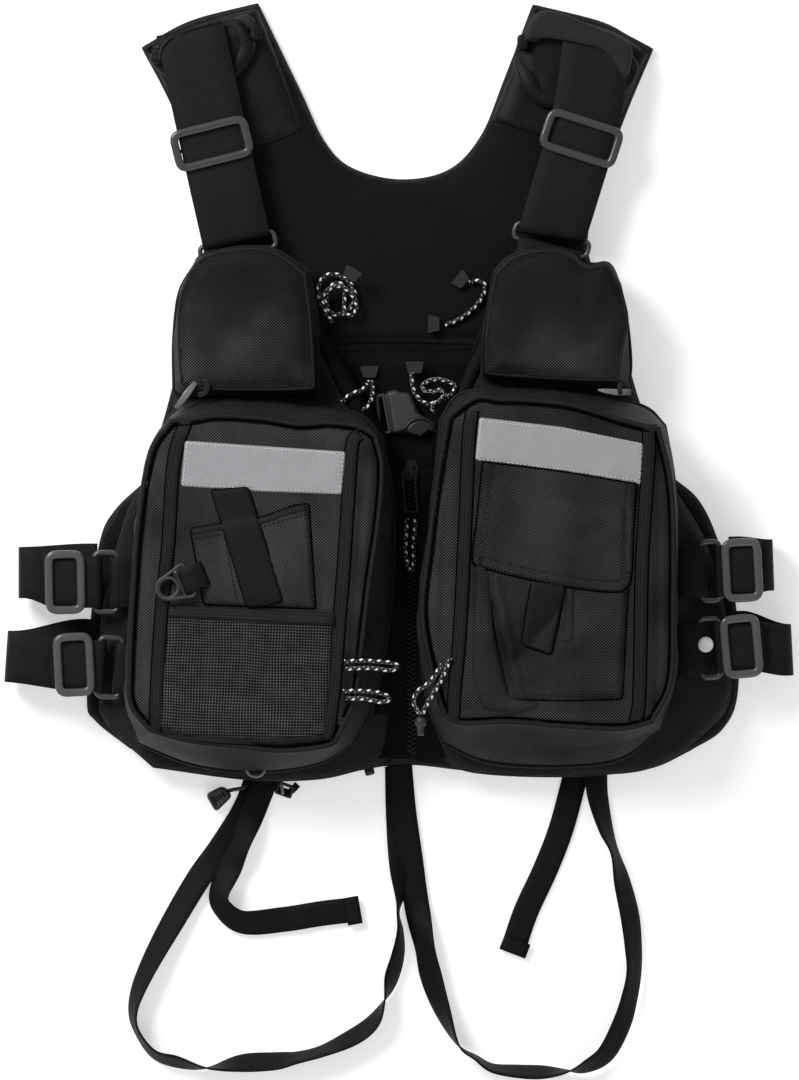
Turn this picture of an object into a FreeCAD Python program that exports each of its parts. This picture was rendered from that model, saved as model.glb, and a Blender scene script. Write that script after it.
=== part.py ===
"""Harness vest laid on its back: padded back panel, two hinged front panels with zipped pockets,
webbing straps with plastic slide buckles, corded zip pulls and two leg loops.
Frame: +Z up out of the table, +Y towards the neck, +X to the right seen from above.
The origin lies on the rear face of the back panel. Units are millimetres."""
import FreeCAD, Part
import math
import os

os.makedirs("parts", exist_ok=True)
Vec = FreeCAD.Vector
UP = Vec(0, 0, 1)

# ---- driving dimensions ----
SKIN = 1.2                  # one layer of pack cloth
BACK_TOP = 14.4             # top of the mesh lining of the back panel
FOAM_TOP = BACK_TOP - SKIN
PAD_TOP = 25.2              # top of the shoulder pads
FRONT_LOW, FRONT_TOP = 26.0, 33.0
CHEST_ZIP, CHEST_TOP = 54.7, 65.0
MAIN_ZIP, MAIN_TOP = 72.0, 80.0
SEAM_GAP = 0.3              # clearance between pieces that part or slide
WALL = 1.6                  # pocket gusset thickness
WEB = 1.6                   # webbing thickness
SHOULDER_WEB, SIDE_WEB, LEG_WEB = 50.8, 38.1, 19.0
BAR = 3.6                   # diameter of the ring bars
LAYER = 5.6                 # height between the two layers of a strap round a bar
SHOULDER_RING_Z = 29.0
SIDE_RING_Z = 36.9
CORD = 3.0                  # elastic pull cord
LEG_LOW, LEG_HIGH = 1.2, 3.2  # mid heights of webbing on the table, and of webbing lying over it
CORNER_SHARE = 0.45         # share of the shorter run that a bend takes

# ---- outlines, each a ring of smooth stretches that meet at corners ----
BACK = [
    [(98, 289), (77, 234), (60, 193), (36, 168), (0, 161), (-36, 170), (-56, 190), (-73, 226),
     (-104, 290)],
    [(-104, 290), (-153, 277), (-188, 258)],
    [(-188, 258), (-170, 224), (-152, 182), (-142, 117), (-158, 51), (-185, -60)],
    [(-185, -60), (-218, -101), (-224, -146), (-228, -218), (-222, -234), (-197, -254)],
    [(-197, -254), (-141, -272), (-63, -275), (0, -266), (60, -271), (150, -270), (205, -256)],
    [(205, -256), (234, -241), (247, -212), (245, -147), (231, -99), (201, -58)],
    [(201, -58), (176, -4), (160, 51), (138, 105), (141, 140), (150, 168), (166, 212), (185, 257)],
    [(185, 257), (168, 266), (146, 277), (98, 289)],
]
FRONT_LEFT = [
    [(-75, 98), (-55, 51), (-31, 11), (-11, -29)],
    [(-11, -29), (-4, -117), (-4, -219), (-9, -263)],
    [(-9, -263), (-33, -271), (-63, -277), (-112, -277), (-180, -268)],
    [(-180, -268), (-214, -236), (-219, -212), (-216, -150), (-197, -78), (-180, -60)],
    [(-180, -60), (-162, 40), (-160, 70), (-146, 98)],
    [(-146, 98), (-75, 98)],
]
FRONT_RIGHT = [
    [(148, 100), (162, 70), (168, 30), (197, -60)],
    [(197, -60), (222, -101), (236, -147), (241, -190), (238, -226), (205, -258)],
    [(205, -258), (176, -270), (118, -275), (55, -272), (31, -262)],
    [(31, -262), (22, -234), (15, -175), (24, -62), (29, -15)],
    [(29, -15), (57, 44), (75, 100)],
    [(75, 100), (148, 100)],
]
CHEST_LEFT = [
    [(-64, 7), (-63, 52), (-67, 92)],
    [(-67, 92), (-91, 108), (-115, 111), (-146, 104)],
    [(-146, 104), (-162, 76), (-166, 50), (-166, 7)],
    [(-166, 7), (-64, 7)],
]
CHEST_RIGHT = [
    [(63, 18), (65, 46), (71, 93)],
    [(71, 93), (81, 102), (107, 109), (124, 104), (137, 95)],
    [(137, 95), (147, 99), (156, 94), (166, 61), (169, 12)],
    [(169, 12), (63, 18)],
]
MAIN_LEFT = [
    [(-168, -14), (-152, 0), (-112, 2), (-66, -4), (-30, -12), (-10, -32)],
    [(-10, -32), (-5, -75), (-5, -120), (-22, -219), (-39, -243)],
    [(-39, -243), (-60, -256), (-103, -258), (-157, -250), (-186, -236)],
    [(-186, -236), (-198, -207), (-193, -120), (-183, -58), (-168, -14)],
]
MAIN_RIGHT = [
    [(29, -22), (47, 3), (86, 9), (134, 3), (177, -7), (195, -25)],
    [(195, -25), (201, -120), (200, -200), (183, -236)],
    [(183, -236), (115, -245), (48, -243), (28, -228)],
    [(28, -228), (17, -157), (27, -62), (29, -22)],
]
PAD_LEFT = [
    [(-104, 289), (-153, 276), (-186, 257)],
    [(-186, 257), (-170, 222), (-152, 182)],
    [(-152, 182), (-107, 185), (-72, 197)],
    [(-72, 197), (-82, 240), (-104, 289)],
]
PAD_RIGHT = [
    [(98, 287), (85, 247), (67, 203)],
    [(67, 203), (102, 193), (150, 176)],
    [(150, 176), (163, 207), (183, 254)],
    [(183, 254), (167, 264), (145, 275), (98, 287)],
]
MESH_POCKET = [(-168, -151), (-174, -238), (-150, -246), (-56, -246), (-48, -156)]
TOOL_SLEEVE = [(-151, -94), (-101, -85), (-66, -76), (-61, -150), (-140, -147)]
TOOL_STRAP = [(-137, -66), (-110, -64), (-85, -146), (-111, -149)]
FLAP_POCKET = [(66, -66), (77, -218), (162, -218), (164, -78)]
FLAP = [(61, -46), (172, -62), (164, -134), (153, -139), (122, -136), (53, -120)]
PULL_TAB = [(97, -135), (121, -139), (110, -185), (89, -178)]
REFLECT_LEFT = [(-156, -30), (-39, -38), (-42, -69), (-159, -63)]
REFLECT_RIGHT = [(58, -13), (177, -32), (176, -62), (55, -44)]

# ---- straps and slides: centre, turn of the upward direction from +Y ----
SHOULDER = {"left": (-118.0, 112.0, 12.5), "right": (111.0, 117.0, -16.0)}
SHOULDER_TOP = 160.0        # strap length above the ring
SHOULDER_SLIDE = 77.0       # slide buckle above the ring
SIDES = {                   # ring centre, turn of the outward direction, root, slide buckle, fold
    "left_upper": (-214.0, -133.0, 180.0, 13.0, 30.0, 64.0),
    "left_lower": (-211.5, -195.0, 176.0, 19.5, 26.0, 76.0),
    "right_upper": (227.0, -125.0, 2.0, 20.5, 23.0, 46.0),
    "right_lower": (226.5, -181.0, 3.0, 24.5, 23.0, 60.0),
}

# ---- routes of cords, round bends left out ----
CORD_PULL_B = [(51, 86, 17), (57, 88, 16.8), (62.5, 86, 18), (63, 80, 18), (58, 71, 17),
               (50, 63, 16.3), (41, 57.5, 16.3), (33.5, 55, 16.3)]
CORD_PULL_C = [(-42, -1.5, 35.2), (-37, 4, 35.6), (-31, 6, 35.6), (-25.5, 8.5, 34), (-23.4, 12, 25),
               (-22.2, 14.6, 18), (-20, 12.5, 18.5), (-19.6, 8, 24), (-20, 1.5, 31), (-22.5, -4, 35.8),
               (-27, -8, 36.2)]
CORD_PULL_E = [(5.4, -86.5, 29.4), (5.0, -97, 28.6), (4.2, -108, 28.4), (5.2, -119, 28.4),
               (8.6, -126.5, 28.4), (11, -118, 28.4), (9.8, -107, 28.4), (11.4, -96, 28.6),
               (11.8, -86.5, 29.4)]
CORD_PULL_F_UPPER = [(-40, -190.5, 81.9), (-28, -189.5, 81.9), (-16, -190.5, 81.9),
                     (-5, -191.2, 81.2), (0.4, -194.3, 80.5), (-6, -197.6, 81.2),
                     (-17, -195.4, 81.9), (-28, -195.2, 81.9), (-39, -196, 81.9)]
CORD_PULL_F_LOWER = [(-41, -212, 81.9), (-31, -211.6, 81.9), (-20, -212.2, 81.9),
                     (-11, -214, 81.2), (-5.6, -217.6, 80.5), (-12, -220.6, 81.2),
                     (-21, -218.5, 81.9), (-29, -217, 81.9), (-39, -217.6, 81.9)]
CORD_PULL_G = [(37, -188, 82), (34, -196, 82), (30, -205, 82.2), (24.5, -214, 83), (19, -223, 79.5),
               (16.5, -230, 75.5), (12.5, -226, 75.5), (9.6, -219, 78), (13, -211.5, 81.5),
               (20, -207.5, 82.6), (26, -201, 82.2), (30.5, -192.5, 82)]
LEG_LEFT = [(-110, -289), (-125, -313), (-145, -344), (-168, -374), (-184, -404), (-194, -432),
            (-194, -456), (-181, -477), (-155, -487), (-124, -486), (-93, -483), (-64, -477),
            (-37, -467), (-14, -447), (-3, -420), (1, -394), (0, -378)]
LEG_RIGHT = [(8, -372), (13, -394), (20, -418), (30, -446), (44, -471), (66, -488), (96, -492),
             (127, -489), (153, -472), (168, -445), (173, -414), (169, -384), (162, -347),
             (153, -316), (145, -287)]
TAIL_LEFT = [(-106, -293), (-113, -320), (-125, -344), (-133, -364), (-123, -381), (-98, -384),
             (-66, -378), (-30, -372)]
TAIL_RIGHT = [(131, -286), (124, -312), (110, -346), (97, -374), (84, -404)]

bend_radii = {}


# ---- making shapes ----
def lifted(point, z=0.0):
    return Vec(point[0], point[1], z)


def edges_of(stretches):
    """Edges of a ring of stretches: two points make a line, more make a smooth curve."""
    edges = []
    for stretch in stretches:
        points = [lifted(p) for p in stretch]
        if len(points) == 2:
            edges.append(Part.LineSegment(points[0], points[1]).toShape())
        else:
            curve = Part.BSplineCurve()
            curve.interpolate(points)
            edges.append(curve.toShape())
    return edges


def inset(stretches, distance):
    """The same ring of stretches moved inwards by a distance, mitred at every point."""
    ring = [p for stretch in stretches for p in stretch[:-1]]
    area = sum(a[0] * b[1] - b[0] * a[1] for a, b in zip(ring, ring[1:] + ring[:1]))
    side = 1.0 if area > 0 else -1.0
    moved = []
    for before, here, after in zip(ring[-1:] + ring[:-1], ring, ring[1:] + ring[:1]):
        into = (lifted(here) - lifted(before)).normalize()
        out = (lifted(after) - lifted(here)).normalize()
        normal = (UP.cross(into) + UP.cross(out)).normalize() * side
        reach = distance / max(0.5, abs(normal.dot(UP.cross(into))))
        moved.append((here[0] + normal.x * reach, here[1] + normal.y * reach))
    result = []
    start = 0
    for stretch in stretches:
        stop = start + len(stretch) - 1
        result.append([moved[i % len(moved)] for i in range(start, stop + 1)])
        start = stop
    return result


def slab(stretches, low, high):
    """A plate with the given outline between two heights."""
    face = Part.Face(Part.Wire(edges_of(stretches)))
    face.translate(Vec(0, 0, low))
    solid = face.extrude(Vec(0, 0, high - low))
    return solid


def polygon_slab(points, low, high, rounding=0.0):
    """A plate with straight sides, its corners rounded when asked."""
    corners = [lifted(p) for p in points]
    face = Part.Face(Part.makePolygon(corners + corners[:1]))
    face.translate(Vec(0, 0, low))
    solid = face.extrude(Vec(0, 0, high - low))
    if rounding:
        upright = [e for e in solid.Edges if abs(e.tangentAt(e.FirstParameter).z) > 0.99]
        solid = solid.makeFillet(rounding, upright)
    return solid


def block(width, depth, low, high, centre=(0.0, 0.0)):
    """A box centred on a point of the plane, between two heights."""
    corner = Vec(centre[0] - width / 2, centre[1] - depth / 2, low)
    return Part.makeBox(width, depth, high - low, corner)


def placed(shape, x, y, turn):
    """A copy turned about +Z and moved to its place in the plane."""
    copy = shape.copy()
    copy.rotate(Vec(0, 0, 0), UP, turn)
    copy.translate(Vec(x, y, 0))
    return copy


def tray(stretches, low, high, base, wall=WALL):
    """An open box with a base, its walls following the outline."""
    outer = slab(stretches, low, high)
    hollow = slab(inset(stretches, wall), low + base, high + 1)
    return outer.cut(hollow)


def lid(stretches, low, high, skin=1.8, wall=WALL):
    """A shallow cap, open below."""
    outer = slab(stretches, low, high)
    hollow = slab(inset(stretches, wall), low - 1, high - skin)
    return outer.cut(hollow)


def route(points, name=None):
    """Straight runs joined by tangent arcs, each as large as its two runs allow."""
    places = [Vec(*p) for p in points]
    pieces = []
    tail = places[0]
    radii = []
    for before, here, after in zip(places, places[1:], places[2:]):
        back = before - here
        ahead = after - here
        take = CORNER_SHARE * min(back.Length, ahead.Length)
        turn = math.pi - back.getAngle(ahead)
        radii.append(take / math.tan(turn / 2))
        start = here + back.normalize() * take
        stop = here + ahead.normalize() * take
        bisector = (back + ahead).normalize()
        sagitta = radii[-1] / math.cos(turn / 2) - radii[-1]
        pieces.append(Part.LineSegment(tail, start).toShape())
        pieces.append(Part.Arc(start, here + bisector * sagitta, stop).toShape())
        tail = stop
    pieces.append(Part.LineSegment(tail, places[-1]).toShape())
    if name:
        bend_radii[name] = [round(r, 1) for r in radii]
    return Part.Wire(pieces)


def sweep(wire, profile):
    """A profile carried along a route as one solid."""
    return wire.makePipeShell([profile], True, False)


def tube(points, diameter, name):
    """A round cord along its route; its volume must agree with section times length."""
    wire = route(points, name)
    start = Vec(*points[0])
    ahead = (Vec(*points[1]) - start).normalize()
    profile = Part.Wire(Part.makeCircle(diameter / 2, start, ahead))
    solid = sweep(wire, profile)
    expected = math.pi * diameter ** 2 / 4 * wire.Length
    print("cord", name, "length", round(wire.Length, 1), "volume ratio",
          round(solid.Volume / expected, 3), "least radius", min(bend_radii[name]))
    return solid


def ribbon(points, width, across=None, thickness=WEB, name=None):
    """Webbing along a route. Across is the fixed direction of its width, in the plane when None."""
    wire = route(points, name)
    start = Vec(*points[0])
    ahead = (Vec(*points[1]) - start).normalize()
    side = across if across else UP.cross(ahead).normalize()
    over = ahead.cross(side).normalize()
    signs = [(-1, -1), (1, -1), (1, 1), (-1, 1), (-1, -1)]
    profile = Part.makePolygon([start + side * (width / 2 * a) + over * (thickness / 2 * b)
                                for a, b in signs])
    return sweep(wire, profile)


def bar_loop(width, length, z, diameter=BAR):
    """A rectangular ring of round bar lying flat, its size between bar centres."""
    half_w, half_l = width / 2, length / 2
    corners = [(-half_w, -half_l), (half_w, -half_l), (half_w, half_l), (-half_w, half_l)]
    solid = None
    for index, (x, y) in enumerate(corners):
        next_x, next_y = corners[(index + 1) % 4]
        run = Vec(next_x - x, next_y - y, 0)
        bar = Part.makeCylinder(diameter / 2, run.Length, Vec(x, y, z), run)
        joint = Part.makeSphere(diameter / 2, Vec(x, y, z))
        solid = bar.fuse(joint) if solid is None else solid.fuse([bar, joint])
    return solid.removeSplitter()


def slide_buckle(web, length, ring_z):
    """A three bar slide: its middle bar lies between the strap layers, its outer bars over them."""
    inner = web + 1.8
    side_wall = 3.2
    strap_top = ring_z + LAYER / 2 + WEB / 2
    bar_low, bar_high = strap_top + SEAM_GAP, strap_top + 3.4
    outer_w = inner + 2 * side_wall
    frame = block(outer_w, length, ring_z - BAR / 2, bar_high)
    upright = [e for e in frame.Edges if abs(e.tangentAt(e.FirstParameter).z) > 0.99]
    frame = frame.makeFillet(5.0, upright)
    frame = frame.cut(block(inner, length + 2, ring_z - BAR, bar_low))
    frame = frame.cut(block(inner - 3.0, length - 12.0, bar_low - 1, bar_high + 1))
    middle = block(inner + 1.0, 5.0, ring_z - 1.4, ring_z + 1.4)
    return frame.fuse(middle).removeSplitter()


def web_tab(width, ring_z, reach, ring_y=0.0):
    """Webbing doubled round a ring bar at ring_y, its two ends reaching away towards -Y."""
    low, high = ring_z - LAYER / 2, ring_z + LAYER / 2
    fold = ring_y + LAYER / 2
    points = [(0, -reach, low), (0, fold, low), (0, fold, high), (0, -reach, high)]
    return ribbon(points, width, Vec(1, 0, 0))


def save(name, *solids):
    """Write one node; several separate solids go out as a compound."""
    shape = solids[0] if len(solids) == 1 else Part.makeCompound(list(solids))
    bad = [s for s in solids if not s.isValid() or s.Volume <= 0]
    if bad:
        print("INVALID", name, len(bad))
    shape.exportStep("parts/" + name + ".step")


# ---- the back panel and what is sewn to it ----
def back_panel():
    save("back_cover", tray(BACK, 0, FOAM_TOP, SKIN))
    save("back_foam", slab(inset(BACK, WALL + 0.4), SKIN, FOAM_TOP - 0.2))
    save("back_lining", slab(inset(BACK, 0.5), FOAM_TOP, BACK_TOP))
    save("shoulder_pads", slab(PAD_LEFT, BACK_TOP, PAD_TOP), slab(PAD_RIGHT, BACK_TOP, PAD_TOP))


def strap_keepers():
    """Cloth bands over the shoulder straps near the top of the shoulders."""
    band = block(64, 20, PAD_TOP, PAD_TOP + 5.2)
    channel = block(SHOULDER_WEB + 1.8, 22, PAD_TOP - 1, PAD_TOP + 3.6)
    keeper = band.cut(channel)
    kept = []
    for side in ("left", "right"):
        x, y, turn = SHOULDER[side]
        up = Vec(-math.sin(math.radians(turn)), math.cos(math.radians(turn)), 0)
        centre = Vec(x, y, 0) + up * (SHOULDER_TOP - 14)
        kept += placed(keeper, centre.x, centre.y, turn).Solids
    save("strap_keepers", *kept)


def shoulder_straps():
    """Wide webbing from the shoulder down round the chest ring and back up through its slide."""
    low, high = SHOULDER_RING_Z - LAYER / 2, SHOULDER_RING_Z + LAYER / 2
    fold = 6.0 - LAYER / 2
    points = [(0, SHOULDER_TOP, low), (0, fold, low), (0, fold, high), (0, SHOULDER_SLIDE + 24, high)]
    strap = ribbon(points, SHOULDER_WEB, Vec(1, 0, 0))
    slide = slide_buckle(SHOULDER_WEB, 30.7, SHOULDER_RING_Z)
    slide.translate(Vec(0, SHOULDER_SLIDE, 0))
    for side, (x, y, turn) in SHOULDER.items():
        save("shoulder_buckle_" + side, placed(slide, x, y, turn))
    save("shoulder_straps", *[placed(strap, x, y, turn) for x, y, turn in SHOULDER.values()])


def side_straps():
    """Narrower webbing from the edge of the back panel, folded back through a slide to a ring."""
    low, high = SIDE_RING_Z - LAYER / 2, SIDE_RING_Z + LAYER / 2
    straps = []
    for name, (x, y, turn, root, slide_at, fold_at) in SIDES.items():
        bar = 6.0 - LAYER / 2
        points = [(root, 0, 7), (fold_at - 12, 0, 6), (fold_at, 0, 14), (fold_at, 0, low - 8),
                  (fold_at - 12, 0, low), (bar, 0, low), (bar, 0, high), (slide_at + 14, 0, high)]
        strap = ribbon(points, SIDE_WEB, Vec(0, 1, 0))
        straps += placed(strap, x, y, turn).Solids
        slide = slide_buckle(SIDE_WEB, 29.0, SIDE_RING_Z)
        slide.rotate(Vec(0, 0, 0), UP, 90)
        slide.translate(Vec(slide_at, 0, 0))
        save("side_buckle_" + name, placed(slide, x, y, turn))
    save("side_straps", *straps)


def hem_fittings():
    """Rubber pull on a short loop, a small ladder buckle and a stitched cord end at the hem."""
    pull = block(17, 21, 0.6, 7.0)
    upright = [e for e in pull.Edges if abs(e.tangentAt(e.FirstParameter).z) > 0.99]
    pull = pull.makeFillet(3.5, upright)
    for groove in range(4):
        pull = pull.cut(block(10, 1.4, 6.2, 8.0, (0, -6.0 + 3.2 * groove)))
    neck = block(5, 8, 1.5, 5.5, (0, 14))
    buckle = block(12, 10, 0.6, 7.0).cut(block(7, 4, 0, 8.0))
    end = block(7, 6, 0.6, 5.0)
    save("hem_fittings", placed(pull.fuse(neck), -139, -292, -35), placed(buckle, -84, -285, -20),
         placed(end, -22, -277, 15))


def leg_straps():
    """Two leg loops that share a doubled strap in the middle, with their free ends."""
    anchors = [block(LEG_WEB, 5.4, 0.4, 2.0, (-106, -281.4)), block(LEG_WEB, 9, 0.4, 4.0, (0, -273)),
               block(LEG_WEB, 7.4, 0.4, 4.0, (138, -276.4))]
    save("leg_strap_anchors", *anchors)
    middle = ribbon([(0, -286, 2.2), (1, -310, 2.2), (3, -336, 2.2), (4, -364, 2.2)], LEG_WEB,
                    thickness=3.6)
    save("crotch_strap", middle)
    for name, points, z in (("leg_strap_left", LEG_LEFT, LEG_LOW),
                            ("leg_strap_right", LEG_RIGHT, LEG_HIGH),
                            ("leg_tail_left", TAIL_LEFT, LEG_HIGH),
                            ("leg_tail_right", TAIL_RIGHT, LEG_LOW)):
        save(name, ribbon([(x, y, z) for x, y in points], LEG_WEB, name=name))


# ---- the front panels ----
def front_panel(side, outline, chest, main):
    """Quilted front panel with a chest pocket and a main pocket, each closed by a zipped lid."""
    save("front_" + side + "_cover", slab(outline, FRONT_LOW, FRONT_TOP))
    save("chest_pocket_" + side, tray(chest, FRONT_TOP, CHEST_ZIP, SKIN))
    save("chest_lid_" + side, lid(chest, CHEST_ZIP + SEAM_GAP, CHEST_TOP))
    save("main_pocket_" + side, tray(main, FRONT_TOP, MAIN_ZIP, SKIN))
    save("main_lid_" + side, lid(main, MAIN_ZIP + SEAM_GAP, MAIN_TOP))
    tabs = []
    rings = []
    x, y, turn = SHOULDER[side]
    rings.append(placed(bar_loop(SHOULDER_WEB + 5.0, 12, SHOULDER_RING_Z), x, y, turn))
    edge = max(p[1] for p in outline[-1])
    tab = web_tab(SHOULDER_WEB - 4, SHOULDER_RING_Z, y - edge - 7.0, -6.0)
    keep = block(200, 60, 0, 60, (x, edge + 30.2))
    tabs.append(placed(tab, x, y, turn).common(keep))
    for name, (ring_x, ring_y, ring_turn, _, _, _) in SIDES.items():
        if side not in name:
            continue
        loop = bar_loop(SIDE_WEB + 5.0, 12, SIDE_RING_Z)
        loop.rotate(Vec(0, 0, 0), UP, 90)
        rings.append(placed(loop, ring_x, ring_y, ring_turn))
        webbing = web_tab(SIDE_WEB, SIDE_RING_Z, 16.0, -6.0)
        webbing.rotate(Vec(0, 0, 0), UP, -90)
        tabs.append(placed(webbing, ring_x, ring_y, ring_turn).cut(slab(main, 0, 60)))
    hem_x, hem_y = (-105.0, -268.0) if side == "left" else (99.0, -257.0)
    rings.append(Part.makeTorus(7.0, 1.2, Vec(hem_x, hem_y, FRONT_TOP + 1.6)))
    if side == "left":
        sling = ribbon([(-40, 1.6, 22.8), (-30, 0.3, 22.4), (-20, -1.0, 20.4)], 20.0)
        tabs.append(placed(sling, 0, -11, 0))
    save("front_" + side + "_tabs", *[s for shape in tabs for s in shape.Solids])
    save("front_" + side + "_rings", *rings)


def main_zip():
    """The two tapes of the front zip with their chains, and the slider with its frame pull."""
    centre, top, bottom = 8.8, -50.0, -262.0
    middle = (top + bottom) / 2
    for side, sign in (("left", -1), ("right", 1)):
        tape = block(21.0, top - bottom, 24.7, 25.9, (centre + sign * 13.5, middle))
        chain = block(3.0, top - bottom, 24.1, 26.5, (centre + sign * 1.75, middle))
        save("main_zip_" + side, tape.fuse(chain).removeSplitter())
    body_y = top - 2.0
    plate = [(-4.4, -6), (4.4, -6), (5.0, 2), (2.6, 8), (-2.6, 8), (-5.0, 2)]
    upper = polygon_slab(plate, 26.8, 28.4)
    lower = polygon_slab(plate, 22.2, 23.8)
    post = block(3.0, 3.0, 22.2, 28.4, (0, 5.4))
    bridge = block(2.4, 9.0, 28.4, 31.4).cut(block(4.0, 5.0, 28.4, 30.2))
    slider = upper.fuse([lower, post, bridge]).removeSplitter()
    slider.translate(Vec(centre, body_y, 0))
    frame = block(10.5, 31.0, 28.7, 30.1).cut(block(7.0, 27.0, 28, 31))
    pull = placed(frame, 7.6, body_y - 15.0, 4)
    save("main_slider", slider, pull)


def chest_sliders():
    """Zip sliders at the lower outer corner of each chest pocket, with their pull tabs."""
    body = block(4.6, 11.0, 51.0, 58.5)
    pull = polygon_slab([(-2.4, -6), (2.4, -6), (2.0, -20), (0, -22), (-2.0, -20)], 53.0, 54.8)
    save("chest_slider_left", placed(body, -168.9, 17.0, 0), placed(pull, -169.9, 17.0, 0))
    side_pull = polygon_slab([(-5, -2), (-5, 2), (-23, 1.8), (-25, 0), (-23, -1.8)], 53.0, 54.8)
    turned = block(9.0, 4.0, 51.0, 58.5)
    save("chest_slider_right", placed(turned, 164.0, 7.6, -3), placed(side_pull, 164.0, 7.0, -3))


# ---- what is sewn to the main lids ----
def open_pocket(points, low, high, mouth):
    """A flat patch pocket open along its first side: front sheet, two sides and bottom."""
    outer = polygon_slab(points, low, high)
    centre_x = sum(p[0] for p in points) / len(points)
    centre_y = sum(p[1] for p in points) / len(points)
    inner = []
    for x, y in points:
        pull = 2.0 / math.hypot(x - centre_x, y - centre_y)
        inner.append((x + (centre_x - x) * pull, y + (centre_y - y) * pull))
    hollow = polygon_slab(inner, low - 1, high - SKIN)
    return outer.cut(hollow).cut(mouth)


def left_lid_fittings():
    top = MAIN_TOP
    save("reflective_strip_left", polygon_slab(REFLECT_LEFT, top, top + 0.6))
    mesh_mouth = placed(block(114, 8, top - 1, top + 4.8), -108, -152.5, -2.5)
    save("mesh_pocket", open_pocket(MESH_POCKET, top, top + 6, mesh_mouth))
    sleeve_mouth = placed(block(78, 8, top - 1, top + 2.8), -108, -85, 12)
    sleeve = open_pocket(TOOL_SLEEVE, top, top + 4, sleeve_mouth)
    tab = ribbon([(22, 0, top + 1.5), (12.4, 0, top + 1.5), (12.4, 0, top + 8.3), (22, 0, top + 8.3)],
                 18.0, Vec(0, 1, 0), SKIN)
    save("tool_sleeve", sleeve, placed(tab, -168, -137, 22))
    save("tool_strap", polygon_slab(TOOL_STRAP, top + 4.3, top + 6.3))


def accessory_ring():
    """Flat plastic ring with a cross bar that hangs on the webbing tab of the left lid."""
    low, high = MAIN_TOP + 3.2, MAIN_TOP + 6.7
    disc = Part.makeCylinder(9.3, high - low, Vec(0, 0, low))
    arms = polygon_slab([(0, 9.3), (14.0, 13.4), (17.4, 13.4), (17.4, -13.4), (14.0, -13.4), (0, -9.3)],
                        low, high, 0.0)
    body = disc.fuse(arms).removeSplitter()
    window = block(4.6, 20.6, low - 1, high + 1, (12.0, 0)).cut(Part.makeCylinder(9.0, 40, Vec(0, 0, 60)))
    body = body.cut(window)
    body = body.cut(Part.makeCylinder(6.5, 20, Vec(0, 0, low - 5)))
    save("accessory_ring", placed(body, -168, -137, 22))


def right_lid_fittings():
    top = MAIN_TOP
    save("reflective_strip_right", polygon_slab(REFLECT_RIGHT, top, top + 0.6))
    mouth = placed(block(94, 8, top - 1, top + 4.8), 115, -70, -7)
    save("flap_pocket", open_pocket(FLAP_POCKET, top, top + 6, mouth))
    save("pocket_flap", polygon_slab(FLAP, top + 6.4, top + 8.4))
    tab = polygon_slab(PULL_TAB, top + 6.4, top + 8.2)
    save("pull_tab", tab.cut(polygon_slab([(x, y - 1.5) for x, y in FLAP], top, top + 12)))


# ---- the chest buckle ----
def chest_buckle():
    """Side release buckle: the plug is held by the left panel, the socket slides off it."""
    low, high = 15.4, 25.4
    socket = block(27, 29, low, high, (5.5, 0))
    upright = [e for e in socket.Edges if abs(e.tangentAt(e.FirstParameter).z) > 0.99]
    socket = socket.makeFillet(4.0, upright)
    socket = socket.cut(block(21, 23, low + 2, high - 2, (1.5, 0)))
    base = block(10, 29, low + 1.2, high - 1.2, (-13.3, 0)).cut(block(4.4, 23, low, high, (-13.6, 0)))
    guide = block(15, 3.0, low + 3.2, high - 3.2, (-0.9, 0))
    prongs = [block(16, 3.2, low + 3.2, high - 3.2, (-0.4, sign * 8.4)) for sign in (-1, 1)]
    plug = base.fuse([guide] + prongs).removeSplitter()
    save("buckle_socket", placed(socket, 1, -10, 8))
    save("buckle_plug", placed(plug, 1, -10, 8))


# ---- elastic pull cords ----
def cord_clump(width, length, low, high, centre, turn):
    """The outer shape of a cord heaped in loops: a low cushion with soft sides."""
    body = Part.makeCylinder(1.0, high - low, Vec(0, 0, 0))
    scale = FreeCAD.Matrix()
    scale.scale(width / 2, length / 2, 1.0)
    body = body.transformGeometry(scale)
    body.translate(Vec(0, 0, low))
    return placed(body, centre[0], centre[1], turn)


def grip(x, y, z, turn):
    """Moulded trapezoid pull on the end of a cord."""
    shape = polygon_slab([(-6.8, 4.2), (6.8, 4.2), (4.8, -4.2), (-4.8, -4.2)], z, z + 3.6, 1.0)
    return placed(shape, x, y, turn)


def pull_cords():
    save("pull_cord_a", cord_clump(29, 35, BACK_TOP + 0.4, 32.0, (-46, 76), 0))
    save("pull_cord_b", tube(CORD_PULL_B, CORD, "pull_cord_b"))
    save("pull_cord_c", tube(CORD_PULL_C, CORD, "pull_cord_c"))
    save("pull_cord_d", cord_clump(32, 20, 26.4, 36.0, (22.5, 7.5), -12))
    save("pull_cord_e", tube(CORD_PULL_E, CORD, "pull_cord_e"))
    save("pull_cord_f", tube(CORD_PULL_F_UPPER, CORD, "pull_cord_f_upper"),
         tube(CORD_PULL_F_LOWER, CORD, "pull_cord_f_lower"))
    save("pull_cord_g", tube(CORD_PULL_G, CORD, "pull_cord_g"))
    rest = BACK_TOP + 0.3
    save("cord_grips_left", grip(-35, 92, rest + 18.0, -30), grip(-22, 20.8, rest, 0))
    save("cord_grips_right", grip(45, 88, rest, 50), grip(25, 55.8, rest, 90),
         grip(11, 24, rest + 8.0, 0))
    save("cord_end_g", block(7, 12, 72.0, 77.5, (15.5, -238.5)))


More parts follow.
